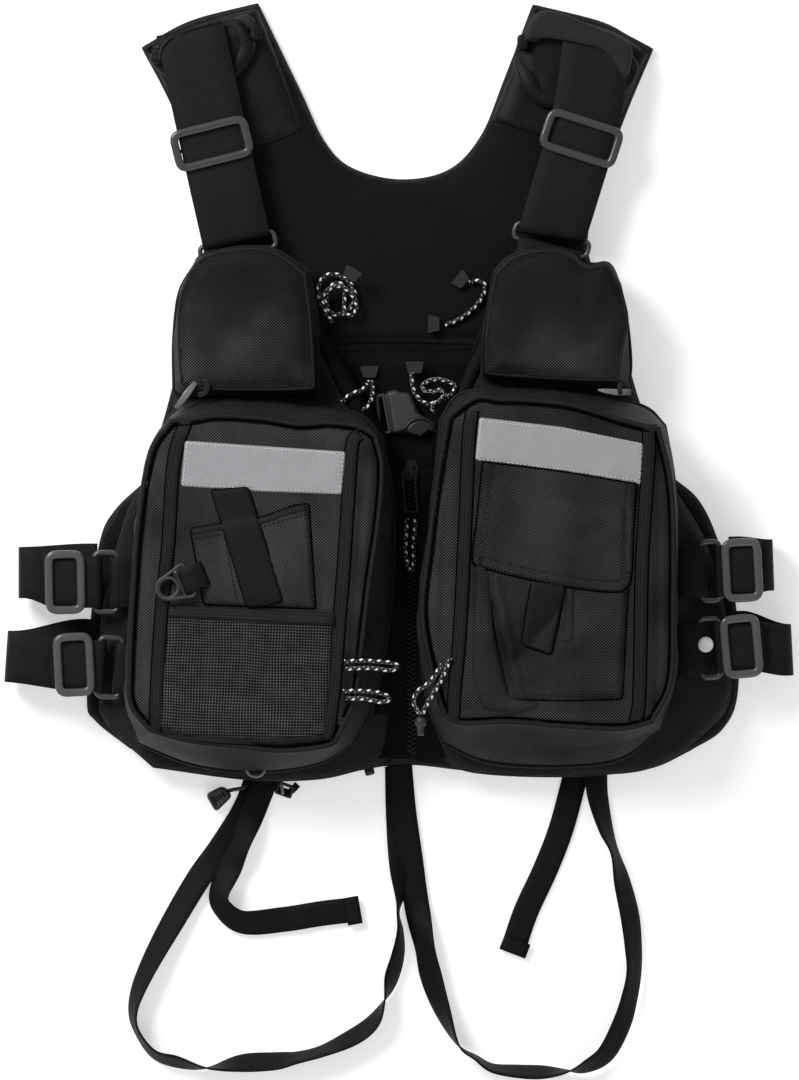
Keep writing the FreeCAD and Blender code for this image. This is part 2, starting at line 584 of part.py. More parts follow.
back_panel()
strap_keepers()
shoulder_straps()
side_straps()
hem_fittings()
leg_straps()
front_panel("left", FRONT_LEFT, CHEST_LEFT, MAIN_LEFT)
front_panel("right", FRONT_RIGHT, CHEST_RIGHT, MAIN_RIGHT)
main_zip()
chest_sliders()
left_lid_fittings()
accessory_ring()
right_lid_fittings()
chest_buckle()
pull_cords()
for name, radii in bend_radii.items():
    print("bend radii", name, radii)
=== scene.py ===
"""Looks of the harness vest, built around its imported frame. Lengths below are millimetres in the
frame's axes (+Z out of the table, +Y towards the neck) and become metres when a mesh is made."""

import math

import bpy
import numpy as np
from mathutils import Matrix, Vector
from mathutils.geometry import delaunay_2d_cdt


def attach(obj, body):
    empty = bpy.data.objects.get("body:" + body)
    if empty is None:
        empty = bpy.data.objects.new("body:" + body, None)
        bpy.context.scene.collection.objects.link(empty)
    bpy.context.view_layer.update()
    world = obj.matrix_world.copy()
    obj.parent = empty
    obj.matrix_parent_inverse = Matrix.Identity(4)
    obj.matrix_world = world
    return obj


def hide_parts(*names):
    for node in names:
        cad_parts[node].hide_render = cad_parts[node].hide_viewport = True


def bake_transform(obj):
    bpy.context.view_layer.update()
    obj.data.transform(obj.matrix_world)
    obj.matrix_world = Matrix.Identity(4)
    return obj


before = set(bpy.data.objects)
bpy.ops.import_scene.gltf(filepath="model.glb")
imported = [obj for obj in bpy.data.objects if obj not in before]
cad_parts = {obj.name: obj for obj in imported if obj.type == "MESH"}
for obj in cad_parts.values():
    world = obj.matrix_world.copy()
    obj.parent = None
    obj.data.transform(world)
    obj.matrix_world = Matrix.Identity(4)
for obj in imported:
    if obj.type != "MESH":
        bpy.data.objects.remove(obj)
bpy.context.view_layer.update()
MM = 0.001
TINY = 1e-9


# ---------------------------------------------------------------- noise and profiles
def mix(a, b, t):
    return a + (b - a) * t


def smooth(t):
    t = np.clip(t, 0.0, 1.0)
    return t * t * (3 - 2 * t)


def dome(d, reach):
    """Rises from 0 at an edge to 1 at a distance, as a quarter circle does."""
    t = np.clip(np.asarray(d, float) / reach, 0, 1)
    return np.sqrt(np.clip(1 - (1 - t) ** 2, 0, 1))


def bell(t):
    return np.exp(-t ** 2)


def noise(x, y, size, seed):
    """Smooth seeded noise in -1..1 with features of a given size."""
    grid = np.random.RandomState(seed).rand(64, 64) * 2 - 1
    u, v = np.asarray(x, float) / size + 200, np.asarray(y, float) / size + 200
    i, j = np.floor(u).astype(int), np.floor(v).astype(int)
    fu, fv = smooth(u - i), smooth(v - j)
    low = mix(grid[i % 64, j % 64], grid[(i + 1) % 64, j % 64], fu)
    high = mix(grid[i % 64, (j + 1) % 64], grid[(i + 1) % 64, (j + 1) % 64], fu)
    return mix(low, high, fv)


def crumple(x, y, size, seed):
    """Cloth creases: three sizes of noise, the finer ones weaker."""
    return (noise(x, y, size, seed) + 0.5 * noise(x, y, size * 0.45, seed + 1)
            + 0.2 * noise(x, y, size * 0.2, seed + 2)) / 1.7


def crease(x, y, a, b, width):
    """1 along the line from a to b, falling to 0 at a distance."""
    ax, ay = a
    bx, by = b[0] - ax, b[1] - ay
    t = np.clip(((x - ax) * bx + (y - ay) * by) / (bx * bx + by * by), 0, 1)
    return bell(np.hypot(x - ax - t * bx, y - ay - t * by) / width)


# ---------------------------------------------------------------- lines and rings
def travel(p):
    """The way gone along a line at each of its points."""
    return np.concatenate([[0], np.cumsum(np.linalg.norm(np.diff(p, axis=0), axis=1))])


def resample(p, step=None, count=None):
    at = travel(p)
    n = count if count else max(2, int(round(at[-1] / step)) + 1)
    s = np.linspace(0, at[-1], n)
    return np.stack([np.interp(s, at, p[:, k]) for k in range(p.shape[1])], 1)


def through(q):
    """Points of a smooth curve through all but the first and last of the given points."""
    t = np.linspace(0, 1, 24, endpoint=False)[:, None]
    return np.vstack([0.5 * (2 * b + (c - a) * t + (2 * a - 5 * b + 4 * c - d) * t ** 2
                             + (3 * b - a - 3 * c + d) * t ** 3)
                      for a, b, c, d in zip(q, q[1:], q[2:], q[3:])])


def spline(points, step=2.5):
    """A smooth line through the points, sampled evenly; two points make a straight line."""
    p = np.array(points, float)
    if len(p) > 2:
        p = np.vstack([through(np.vstack([2 * p[0] - p[1], p, 2 * p[-1] - p[-2]])), p[-1:]])
    return resample(p, step)


def closed(p, step):
    """An evenly sampled outline, without its repeated last point."""
    return resample(np.vstack([p, p[:1]]), step)[:-1]


def closed_spline(points, step=2.5):
    """A smooth closed outline through the points."""
    p = np.array(points, float)
    return closed(through(np.vstack([p[-1:], p, p[:2]])), step)


def ring_of(stretches, step=2.5):
    """The closed outline made of smooth stretches."""
    return np.vstack([spline(s, step)[:-1] for s in stretches])


def rounded_ring(points, radius, step=2.0):
    """A closed outline of straight sides with rounded corners."""
    p = np.array(points, float)
    t = np.linspace(0, 1, 6)[:, None]
    out = []
    for a, b, c in zip(np.roll(p, 1, 0), p, np.roll(p, -1, 0)):
        before, after = np.linalg.norm(a - b), np.linalg.norm(c - b)
        r = min(radius, 0.45 * before, 0.45 * after)
        near, far = b + (a - b) / before * r, b + (c - b) / after * r
        out.append((1 - t) ** 2 * near + 2 * t * (1 - t) * b + t ** 2 * far)
    return closed(np.vstack(out), step)


def arc(cx, cy, r, start, stop, count=14):
    turns = np.radians(np.linspace(start, stop, count))
    return np.stack([cx + r * np.cos(turns), cy + r * np.sin(turns)], 1)


def area_sign(ring):
    x, y = ring.T
    return 1.0 if np.sum(x * np.roll(y, -1) - np.roll(x, -1) * y) > 0 else -1.0


def leftwards(ring):
    """The outline in the order that keeps its inside on the left."""
    return ring[::-1] if area_sign(ring) < 0 else ring


def edge_distance(x, y, ring):
    """Distance of each point to a closed outline."""
    best = np.full(len(x), 1e9)
    for (ax, ay), (bx, by) in zip(ring, np.roll(ring, -1, 0)):
        dx, dy = bx - ax, by - ay
        t = np.clip(((x - ax) * dx + (y - ay) * dy) / (dx * dx + dy * dy + TINY), 0, 1)
        best = np.minimum(best, np.hypot(x - ax - t * dx, y - ay - t * dy))
    return best


def inside(x, y, ring):
    hit = np.zeros(len(x), bool)
    for (ax, ay), (bx, by) in zip(ring, np.roll(ring, -1, 0)):
        cross = (ay > y) != (by > y)
        hit ^= cross & (x < (bx - ax) * (y - ay) / (by - ay + 1e-12) + ax)
    return hit


def on_ring(height, ring):
    """A piece's height as a surface over the plane: level with its edge outside its outline."""
    def surface(x, y):
        x, y = np.atleast_1d(np.asarray(x, float)), np.atleast_1d(np.asarray(y, float))
        return height(x, y, edge_distance(x, y, ring) * inside(x, y, ring))
    return surface


def at_depth(height, d, rise=0.0):
    """A piece's height as a surface, taken as if every point lay d from its edge."""
    return lambda x, y: height(x, y, d + 0 * x) + rise


def unit(v):
    return v / (np.linalg.norm(v, axis=1)[:, None] + TINY)


def normals_of(line, around=False):
    """Unit normals to the left of a plane line."""
    ahead = unit(np.roll(line, -1, 0) - np.roll(line, 1, 0) if around else np.gradient(line, axis=0))
    return np.stack([-ahead[:, 1], ahead[:, 0]], 1)


def turned(points, x, y, turn):
    """Local points (across, along, height) put at a place of the plane."""
    c, s = math.cos(math.radians(turn)), math.sin(math.radians(turn))
    return [(x + a * c - b * s, y + a * s + b * c, z) for a, b, z in points]


def plane(points, x, y, turn):
    return [p[:2] for p in turned([(a, b, 0) for a, b in points], x, y, turn)]


def oblong(x, y, turn, half_w, half_h):
    """The four corners of a turned rectangle."""
    return plane([(-half_w, -half_h), (half_w, -half_h), (half_w, half_h), (-half_w, half_h)], x, y, turn)


# ---------------------------------------------------------------- meshes
def make(name, verts, faces, material, uv=None, smooth_on=True):
    """A mesh object from millimetres. uv gives a pair per vertex, in millimetres along the cloth."""
    mesh = bpy.data.meshes.new(name)
    mesh.from_pydata((np.asarray(verts, float) * MM).tolist(), [], [list(f) for f in faces])
    mesh.update()
    if uv is not None:
        layer = mesh.uv_layers.new(name="UVMap")
        index = np.zeros(len(mesh.loops), int)
        mesh.loops.foreach_get("vertex_index", index)
        layer.data.foreach_set("uv", (np.asarray(uv, float)[index] * MM).ravel())
    if smooth_on:
        mesh.shade_smooth()
    mesh.materials.append(material)
    return placed(name, mesh)


def placed(name, data):
    """A new object of the scene."""
    obj = bpy.data.objects.new(name, data)
    bpy.context.scene.collection.objects.link(obj)
    return obj


def skin(name, sections, uv, material, around=False, flip=False, caps_flip=False):
    """A skin over closed sections with equal counts, capped at both ends unless it goes around."""
    rows, cols = sections.shape[:2]
    faces = []
    for i in range(rows if around else rows - 1):
        a, b = i * cols, (i + 1) % rows * cols
        faces += [[a + j, a + (j + 1) % cols, b + (j + 1) % cols, b + j] for j in range(cols)]
    if not around:
        caps = [list(range(cols))[::-1], list(range((rows - 1) * cols, rows * cols))]
        faces += [f[::-1] for f in caps] if caps_flip else caps
    if flip:
        faces = [f[::-1] for f in faces]
    return make(name, sections.reshape(-1, 3), faces, material, uv.reshape(-1, 2))


def pairs(a, b):
    return np.stack(np.meshgrid(a, b, indexing="ij"), -1)


def cushion(name, ring, top, bottom, material, step=3.0, turn=0.0):
    """A closed solid over an outline. top and bottom are heights from (x, y, distance to edge),
    or plain numbers."""
    ring = leftwards(ring)
    low, high = ring.min(0), ring.max(0)
    xs, ys = np.meshgrid(np.arange(low[0] + step / 2, high[0], step),
                         np.arange(low[1] + step / 2, high[1], step * 0.87))
    xs = xs + (np.arange(xs.shape[0]) % 2)[:, None] * step / 2
    x, y = xs.ravel(), ys.ravel()
    keep = inside(x, y, ring)
    x, y = x[keep], y[keep]
    keep = edge_distance(x, y, ring) > step * 0.4
    n = len(ring)
    flat = [Vector(p) for p in ring] + [Vector(p) for p in zip(x[keep], y[keep])]
    points, _, tris, origins, *_ = delaunay_2d_cdt(flat, [(i, (i + 1) % n) for i in range(n)], [], 1, 1e-5)
    pos = np.array([tuple(v) for v in points])
    edge = {o[0]: k for k, o in enumerate(origins) if o and o[0] < n}
    d = edge_distance(*pos.T, ring)
    d[list(edge.values())] = 0.0
    levels = [rule(*pos.T, d) if callable(rule) else np.full(len(pos), rule) for rule in (top, bottom)]
    count = len(pos)
    faces = []
    for f in tris:
        (ax, ay), (bx, by), (cx, cy) = (pos[k] for k in f)
        f = list(f) if (bx - ax) * (cy - ay) - (cx - ax) * (by - ay) >= 0 else list(f)[::-1]
        faces += [f, [count + k for k in f[::-1]]]
    edge_points = [edge[i] for i in range(n) if i in edge]
    for a, b in zip(edge_points, edge_points[1:] + edge_points[:1]):
        faces.append([a, count + a, count + b, b])
    c, s = math.cos(turn), math.sin(turn)
    uv = pos @ np.array([[c, -s], [s, c]])
    verts = np.vstack([np.c_[pos, level] for level in levels])
    return make(name, verts, faces, material, np.vstack([uv, uv]))


def rim(name, line, profile, material, around=True, lift=None):
    """A profile carried round a plane line. Profile points are (distance inwards, height)."""
    line = leftwards(line) if around else line
    side, prof = normals_of(line, around), np.array(profile, float)
    sections = np.zeros((len(line), len(prof), 3))
    sections[..., :2] = line[:, None] + side[:, None] * prof[:, 0][:, None]
    sections[..., 2] = prof[:, 1] + (lift(*line.T)[:, None] if lift else 0)
    return skin(name, sections, pairs(travel(line), travel(prof)), material, around)


def circle_profile(a, z, r, count=10):
    t = np.linspace(0, 2 * math.pi, count, endpoint=False)
    return np.stack([a + r * np.cos(t), z + r * np.sin(t)], 1)


def soft_box(inset, z, half_w, half_h, count=16, power=0.62):
    """A rounded rectangle as a profile: (distance inwards, height) pairs."""
    way = circle_profile(0, 0, 1, count)
    return (inset, z) + np.array([half_w, half_h]) * np.sign(way) * np.abs(way) ** power


def ribbon(name, path, width, thickness, material, across=None, round_path=True, roll=None):
    """Flat webbing along 3-D points. across is the direction of its width, in the plane when None.
    roll turns it about its own line, in degrees at each point."""
    p = np.array(path, float)
    if round_path:
        p = resample(p, 3.0)
    ahead = unit(np.gradient(p, axis=0))
    if across is None:
        across = np.cross([0, 0, 1.0], ahead)
    side = unit(np.broadcast_to(np.array(across, float), p.shape))
    over = np.cross(ahead, side)
    if roll is not None:
        c, s = np.cos(np.radians(roll))[:, None], np.sin(np.radians(roll))[:, None]
        side, over = side * c + over * s, over * c - side * s
    low = [(-1, -0.4), (-0.97, -1), (-0.5, -1), (0, -1), (0.5, -1), (0.97, -1), (1, -0.4)]
    a, b = np.array(low + [(u, -v) for u, v in low[::-1]]).T
    half = np.broadcast_to(width, (len(p),)) / 2
    reach = half[:, None] * a
    sections = p[:, None] + side[:, None] * reach[..., None] + over[:, None] * (thickness / 2 * b)[:, None]
    uv = np.stack([np.broadcast_to(travel(p)[:, None], reach.shape), reach], -1)
    return skin(name, sections, uv, material)


def draped(name, line, width, surface, material, lift=0.5, thickness=0.9, step=3.0):
    """A tape that lies on a surface along a plane line."""
    p = spline(line, step)
    side = normals_of(p)
    across = np.array([-1, -0.94, -0.5, 0, 0.5, 0.94, 1]) * width / 2
    rise = [0.15, 0.9, 1, 1, 1, 0.9, 0.15]
    top, low = [], []
    for a, r in zip(across, rise):
        q = p + side * a
        z = surface(*q.T)
        top.append(np.c_[q, z + lift + thickness * r])
        low.append(np.c_[q, z - 0.6])
    uv = pairs(travel(p), np.concatenate([across, across[::-1]]))
    return skin(name, np.stack(top + low[::-1], 1), uv, material, flip=True)


def patch(name, ring, surface, material, lift=0.8, edge=2.0, step=3.0, extra=None, turn=0.0):
    """A sewn-on piece of cloth that follows a surface, with a soft edge."""
    def top(x, y, d):
        return surface(x, y) + 0.1 + lift * dome(d, edge) + (extra(x, y, d) if extra else 0)
    return cushion(name, ring, top, lambda x, y, d: surface(x, y) - 0.6, material, step, turn)


def tube(name, path, radius, material, sides=10):
    """A round cord or bar along 3-D points."""
    p = np.array(path, float)
    ahead = unit(np.gradient(p, axis=0))
    n = np.cross(ahead[0], [0, 0, 1.0] if abs(ahead[0][2]) < 0.9 else [1.0, 0, 0])
    turns = np.linspace(0, 2 * math.pi, sides, endpoint=False)
    sections = []
    for centre, t in zip(p, ahead):
        n = n - t * np.dot(n, t)
        n = n / np.linalg.norm(n)
        across = np.outer(np.cos(turns), n) + np.outer(np.sin(turns), np.cross(t, n))
        sections.append(centre + radius * across)
    return skin(name, np.array(sections), pairs(travel(p), turns / (2 * math.pi) * 10.0), material, flip=True)


def beads(name, places, size, material):
    """Many small rounded bars in one mesh. places holds (x, y, z, turn); size is (long, wide, high)."""
    corner = [(-0.5, -0.3), (-0.3, -0.5), (0.3, -0.5), (0.5, -0.3)]
    shape = np.array(corner + [(-a, -b) for a, b in corner]) * size[:2]
    verts, faces = [], []
    for x, y, z, turn in places:
        k = len(verts)
        for grow, level in ((1.0, -0.5), (1.0, 0.2), (0.7, 0.5)):
            verts += turned([(a * grow, b * grow, z + level * size[2]) for a, b in shape], x, y,
                            math.degrees(turn))
        for ring in (k, k + 8):
            faces += [[ring + j, ring + (j + 1) % 8, ring + 8 + (j + 1) % 8, ring + 8 + j] for j in range(8)]
        faces.append([k + j for j in range(8)][::-1])
        faces.append([k + 16 + j for j in range(8)])
    return make(name, verts, faces, material, np.array(verts)[:, :2])


def stitches(line, surface, lift=0.25, wide=0.55, material=None, pitch=3.4, length=2.3, name="t"):
    """A row of thread stitches lying on a surface along a plane line."""
    p = resample(np.array(line, float), pitch)
    ahead = np.gradient(p, axis=0)
    z = surface(*p.T) + lift
    places = [(x, y, h, math.atan2(a[1], a[0])) for (x, y), h, a in zip(p, z, ahead)]
    return beads(name, places, (length, wide, wide), material or THREAD)


def joined(name, objs):
    """Several meshes made into one piece, materials kept."""
    verts, faces, uvs, mats, index = [], [], [], [], []
    for o in objs:
        mesh, base = o.data, len(verts)
        if mesh.materials[0] not in mats:
            mats.append(mesh.materials[0])
        verts += [tuple(v.co) for v in mesh.vertices]
        for poly in mesh.polygons:
            faces.append([base + v for v in poly.vertices])
            index.append(mats.index(mesh.materials[0]))
            uvs += [tuple(mesh.uv_layers[0].data[k].uv) for k in poly.loop_indices]
        bpy.data.objects.remove(o)
        bpy.data.meshes.remove(mesh)
    mesh = bpy.data.meshes.new(name)
    mesh.from_pydata(verts, [], faces)
    layer = mesh.uv_layers.new(name="UVMap")
    layer.data.foreach_set("uv", np.array(uvs, float).ravel())
    for m in mats:
        mesh.materials.append(m)
    mesh.polygons.foreach_set("material_index", index)
    mesh.shade_smooth()
    return placed(name, mesh)


def sewn(obj, body, stands=()):
    """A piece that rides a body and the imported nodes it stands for."""
    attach(obj, body)
    if stands:
        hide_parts(*stands)
    return obj


def small_part(name, body, pieces, stands=()):
    """A hard part of several meshes."""
    return sewn(joined(name, pieces), body, stands)



# ---------------------------------------------------------------- materials
class Value:
    """A number worked out by a material, with the usual arithmetic."""

    def __init__(self, tree, socket):
        self.tree, self.socket = tree, socket

    def op(self, operation, *others):
        node = self.tree.nodes.new("ShaderNodeMath")
        node.operation = operation
        for k, v in enumerate((self, *others)):
            if isinstance(v, Value):
                self.tree.links.new(v.socket, node.inputs[k])
            else:
                node.inputs[k].default_value = v
        return Value(self.tree, node.outputs[0])

    def __add__(self, other):
        return self.op("ADD", other)

    def __mul__(self, other):
        return self.op("MULTIPLY", other)

    def wave(self, pitch):
        """0..1 sine of a coordinate with a pitch in millimetres."""
        return (self * (2 * math.pi / pitch)).op("SINE") * 0.5 + 0.5

    def ramp(self, *stops):
        """Colours between the given stops, each a position and a colour or a grey."""
        node = self.tree.nodes.new("ShaderNodeValToRGB")
        while len(node.color_ramp.elements) < len(stops):
            node.color_ramp.elements.new(0.5)
        for element, (at, colour) in zip(node.color_ramp.elements, stops):
            element.position = at
            element.color = (*(colour if isinstance(colour, tuple) else (colour,) * 3), 1)
        self.tree.links.new(self.socket, node.inputs[0])
        return Value(self.tree, node.outputs[0])


class Look:
    """A material in the making."""

    def __init__(self, name, base=(0.01, 0.01, 0.011), rough=0.6, spec=0.5, metal=0.0):
        self.mat = bpy.data.materials.new(name)
        self.mat.use_nodes = True
        self.tree = self.mat.node_tree
        self.inputs = self.tree.nodes["Principled BSDF"].inputs
        for key, value in (("Base Color", (*base, 1)), ("Roughness", rough),
                           ("Specular IOR Level", spec), ("Metallic", metal)):
            self.inputs[key].default_value = value

    def split(self, socket):
        node = self.tree.nodes.new("ShaderNodeSeparateXYZ")
        self.tree.links.new(socket, node.inputs[0])
        return [Value(self.tree, out) for out in node.outputs]

    def cloth(self):
        """The two cloth coordinates in millimetres."""
        node = self.tree.nodes.new("ShaderNodeUVMap")
        node.uv_map = "UVMap"
        u, v, _ = self.split(node.outputs[0])
        return u * 1000.0, v * 1000.0

    def place(self):
        return self.tree.nodes.new("ShaderNodeTexCoord").outputs["Object"]

    def blotch(self, scale, detail=2.0):
        node = self.tree.nodes.new("ShaderNodeTexNoise")
        node.inputs["Scale"].default_value = scale
        node.inputs["Detail"].default_value = detail
        self.tree.links.new(self.place(), node.inputs["Vector"])
        return Value(self.tree, node.outputs["Fac"])

    def give(self, key, value):
        self.tree.links.new(value.socket, self.inputs[key])

    def finish(self, colour, height, depth):
        """The material with its colour and with bumps of a depth in millimetres."""
        if colour:
            self.give("Base Color", colour)
        node = self.tree.nodes.new("ShaderNodeBump")
        node.inputs["Distance"].default_value = depth * MM
        node.inputs["Strength"].default_value = 1.0
        self.tree.links.new(height.socket, node.inputs["Height"])
        self.tree.links.new(node.outputs[0], self.inputs["Normal"])
        return self.mat


def tinted(grey, green, blue):
    return (grey, grey * green, grey * blue)


def weave_cloth(name, light=0.088, stripes=0.0, glints_below=None):
    """Coarse packcloth: raised floats on two diagonals, of which one or the other catches the light;
    the floats are painted lighter, with a purple tint, as painted glints. stripes gives the width of
    the columns in which the diagonals take turns. The last argument gives a height on the vest under
    which the painted glints are brighter, as a painted highlight."""
    look = Look(name, rough=0.5, spec=0.16)
    u, v = look.cloth()
    pitch, slant, dark, depth = 2.35, 1.12, 0.002, 0.3
    a, b = (v * slant + u).wave(pitch), (v * -slant + u).wave(pitch)
    drift = look.blotch(42.0, 1.0)
    if stripes:
        lean = (drift * (1.6 * stripes) + u).wave(2 * stripes).ramp((0.38, 0.0), (0.62, 1.0))
    else:
        lean = drift.ramp((0.36, 0.15), (0.64, 0.85))
    share = 0.7 if stripes else 0.4
    raised = (a * lean + b * (lean * -1.0 + 1.0)) * share + a * b * (1.15 - share)
    # painted sheen: the raised floats are coloured lighter where glints would catch the light, varied in
    # broad random patches
    painted_sheen = raised * (look.blotch(17.0) * 1.9)
    # painted highlight: the painted glints are made brighter below a height on the vest
    if glints_below is not None:
        height = look.split(look.place())[1] * 10.0 + (drift * 0.5 + -0.25)
        edge = glints_below * 0.01
        painted_sheen = painted_sheen * height.ramp((edge - 0.15, 1.15), (edge + 0.45, 0.5))
    colour = painted_sheen.ramp((0.22, tinted(dark, 1, 1.05)), (0.5, (light * 0.22, light * 0.215, light * 0.235)),
                      (0.92, tinted(light, 0.97, 1.08)))
    look.give("Roughness", raised.ramp((0.2, 0.72), (0.8, 0.45)))
    return look.finish(colour, raised, depth)


def plain_cloth(name, base, tint=1.06, rough=0.55, fine=0.9, depth=0.08, spec=0.2):
    look = Look(name, rough=rough, spec=spec)
    u, v = look.cloth()
    threads = u.wave(fine) * v.wave(fine)
    mixed = threads * 0.5 + look.blotch(60.0) * 0.5
    colour = mixed.ramp((0.2, tinted(base * 0.7, 1, tint)), (0.8, tinted(base * 1.5, 1, tint)))
    return look.finish(colour, threads, depth)


def webbing_cloth(name, base, warp=1.6, rib=1.35, depth=0.14, rib_share=0.25):
    """Warp lines along the length, with fainter ribs across it."""
    look = Look(name, rough=0.62, spec=0.13)
    u, v = look.cloth()
    share = 0.55 - rib_share / 2
    h = look.blotch(330.0, 3.0) * share + (v.wave(warp) * share + u.wave(rib) * rib_share)
    colour = h.ramp((0.25, base * 0.45), (0.85, (base * 2.3, base * 2.3, base * 2.35)))
    return look.finish(colour, h, depth)


def lining_cloth(name):
    """Knitted mesh with rows of tiny holes."""
    look = Look(name, rough=0.75, spec=0.09)
    u, v = look.cloth()
    holes = (v * 0.8 + u).wave(1.7) * (v * -0.8 + u).wave(1.7)
    yarn = look.blotch(420.0, 3.0)
    h = look.blotch(22.0, 1.0) * 0.35 + (holes * 0.3 + yarn * 0.45)
    colour = h.ramp((0.25, (0.0022, 0.0022, 0.0024)), (0.75, (0.0085, 0.0085, 0.009)))
    return look.finish(colour, holes * 0.6 + yarn * 0.4, 0.22)


def net_cloth(name):
    """Open square netting: round threads with clear holes; the threads are painted lighter at their crowns
    and in broad patches, as painted sheen.
    """
    look = Look(name, base=(0.02, 0.02, 0.022), rough=0.42, spec=0.3)
    u, v = look.cloth()
    pitch, hole = 2.1, 0.74
    sway = look.blotch(24.0, 1.0) * 3.0
    thread = (sway + u).wave(pitch).op("MAXIMUM", (sway + v).wave(pitch))
    look.give("Alpha", thread.op("GREATER_THAN", hole))
    # painted sheen: thread colour lighter at the crowns of the threads and in broad patches
    painted_sheen = thread * (look.blotch(120.0, 3.0) * 0.7 + 0.45)
    return look.finish(painted_sheen.ramp((0.35, 0.004), (1.0, (0.07, 0.07, 0.075))), thread, 0.6)


def tracer_cord(name):
    """Black braid with bright tracer dashes that wind round it."""
    look = Look(name, rough=0.55, spec=0.4)
    u, v = look.cloth()
    along = u * (1 / 6.4)
    first = (along + v * 0.2).op("FRACT").op("LESS_THAN", 0.42)
    second = (along + v * -0.1).op("FRACT").op("LESS_THAN", 0.5)
    colour = (first * second).ramp((0.3, 0.008), (0.7, (0.93, 0.94, 0.96)))
    return look.finish(colour, (v * 0.5 + u).wave(1.4), 0.15)


def tape_silver(name):
    look = Look(name, rough=0.42, spec=0.5, metal=0.15)
    u, v = look.cloth()
    h = look.blotch(900.0, 3.0) * 0.7 + (u + v).wave(1.6) * (v * -1.0 + u).wave(1.6) * 0.3
    return look.finish(h.ramp((0.25, (0.30, 0.30, 0.315)), (0.75, (0.42, 0.42, 0.44))), h, 0.03)


def moulded(name, grey, rough, blue, grain=0.02):
    look = Look(name, (grey, grey, blue), rough)
    return look.finish(None, look.blotch(1500.0), grain)


POCKET = weave_cloth("pocket_weave")
# painted highlight: the chest weave's glints are painted brighter on the lower part of the pockets
CHEST = weave_cloth("chest_weave", glints_below=30.0)
ZIGZAG = weave_cloth("zigzag_weave", light=0.07, stripes=15.0)
NYLON = plain_cloth("nylon", 0.0036, tint=1.2, rough=0.5, fine=1.1, spec=0.16)
BAND_CLOTH = plain_cloth("band_cloth", 0.0185, fine=1.25, depth=0.07, spec=0.15)
DARK_CLOTH = plain_cloth("dark_cloth", 0.0018, rough=0.6, fine=1.3, spec=0.08)
# painted shade: near-black cloth for thin lines where shade falls along edges, grooves and the sides of tapes
SHADE_LINE = plain_cloth("painted_shade_line", 0.0006, rough=0.8, spec=0.02)
PANEL = weave_cloth("panel_weave", light=0.05)
BINDING = webbing_cloth("binding_tape", 0.0078, warp=2.6, rib=1.3, depth=0.1, rib_share=0.45)
WEBBING = webbing_cloth("webbing", 0.005)
LEG_WEB = webbing_cloth("leg_webbing", 0.0028)
LINING = lining_cloth("mesh_lining_knit")
NET = net_cloth("pocket_net")
CORDING = tracer_cord("tracer_cord")
SILVER = tape_silver("silver_tape")
PLASTIC = moulded("black_plastic_look", 0.012, 0.3, 0.0125)
GREY_PLASTIC = moulded("dark_grey_plastic", 0.0105, 0.4, 0.011)
MATT_PLASTIC = moulded("matt_grey_plastic", 0.025, 0.5, 0.026)
METAL = moulded("grey_metal_look", 0.17, 0.36, 0.175)
GLOSSY = moulded("glossy_black", 0.045, 0.22, 0.046, grain=0.01)
POLISHED = moulded("polished_grey", 0.075, 0.2, 0.078, grain=0.01)
THREAD = Look("black_thread", (0.009, 0.009, 0.0095), spec=0.2).mat
WHITE_THREAD = Look("white_thread", (0.7, 0.7, 0.72)).mat
HOOKS = plain_cloth("hook_tape", 0.016, tint=1.25, rough=0.7, fine=1.2, depth=0.3)
WHITE = Look("white_cap", (0.85, 0.85, 0.86), rough=0.4).mat

# ---------------------------------------------------------------- outlines of the piece edges
BACK = [
    [(98, 289), (77, 234), (60, 193), (36, 168), (0, 161), (-36, 170), (-56, 190), (-73, 226), (-104, 290)],
    [(-104, 290), (-153, 277), (-188, 258)],
    [(-188, 258), (-170, 224), (-152, 182), (-142, 117), (-156, 51), (-169, -4), (-186, -60)],
    [(-186, -60), (-207, -80), (-218, -101), (-224, -146), (-228, -218), (-222, -234), (-197, -254)],
    [(-197, -254), (-141, -272), (-63, -275), (0, -266), (60, -271), (150, -273), (186, -268), (212, -256)],
    [(212, -256), (236, -240), (247, -212), (245, -147), (231, -99), (218, -73), (201, -58)],
    [(201, -58), (176, -4), (160, 51), (138, 105), (141, 140), (150, 168), (166, 212), (185, 257)],
    [(185, 257), (168, 266), (146, 277), (98, 289)],
]
FRONT_LEFT = [
    [(-75, 98), (-55, 51), (-31, 11), (-11, -29)],
    [(-11, -29), (-4, -117), (-4, -219), (-9, -263)],
    [(-9, -263), (-33, -271), (-63, -277), (-112, -277), (-180, -268)],
    [(-180, -268), (-214, -236), (-219, -212), (-216, -150), (-197, -78), (-180, -60)],
    [(-180, -60), (-164, 0), (-160, 40), (-158, 70), (-146, 98)],
    [(-146, 98), (-75, 98)],
]
FRONT_RIGHT = [
    [(148, 100), (160, 70), (164, 30), (173, 0), (197, -60)],
    [(197, -60), (222, -101), (236, -147), (241, -190), (238, -226), (205, -258)],
    [(205, -258), (176, -270), (118, -275), (55, -272), (31, -262)],
    [(31, -262), (22, -234), (15, -175), (24, -62), (29, -15)],
    [(29, -15), (57, 44), (75, 100)],
    [(75, 100), (148, 100)],
]
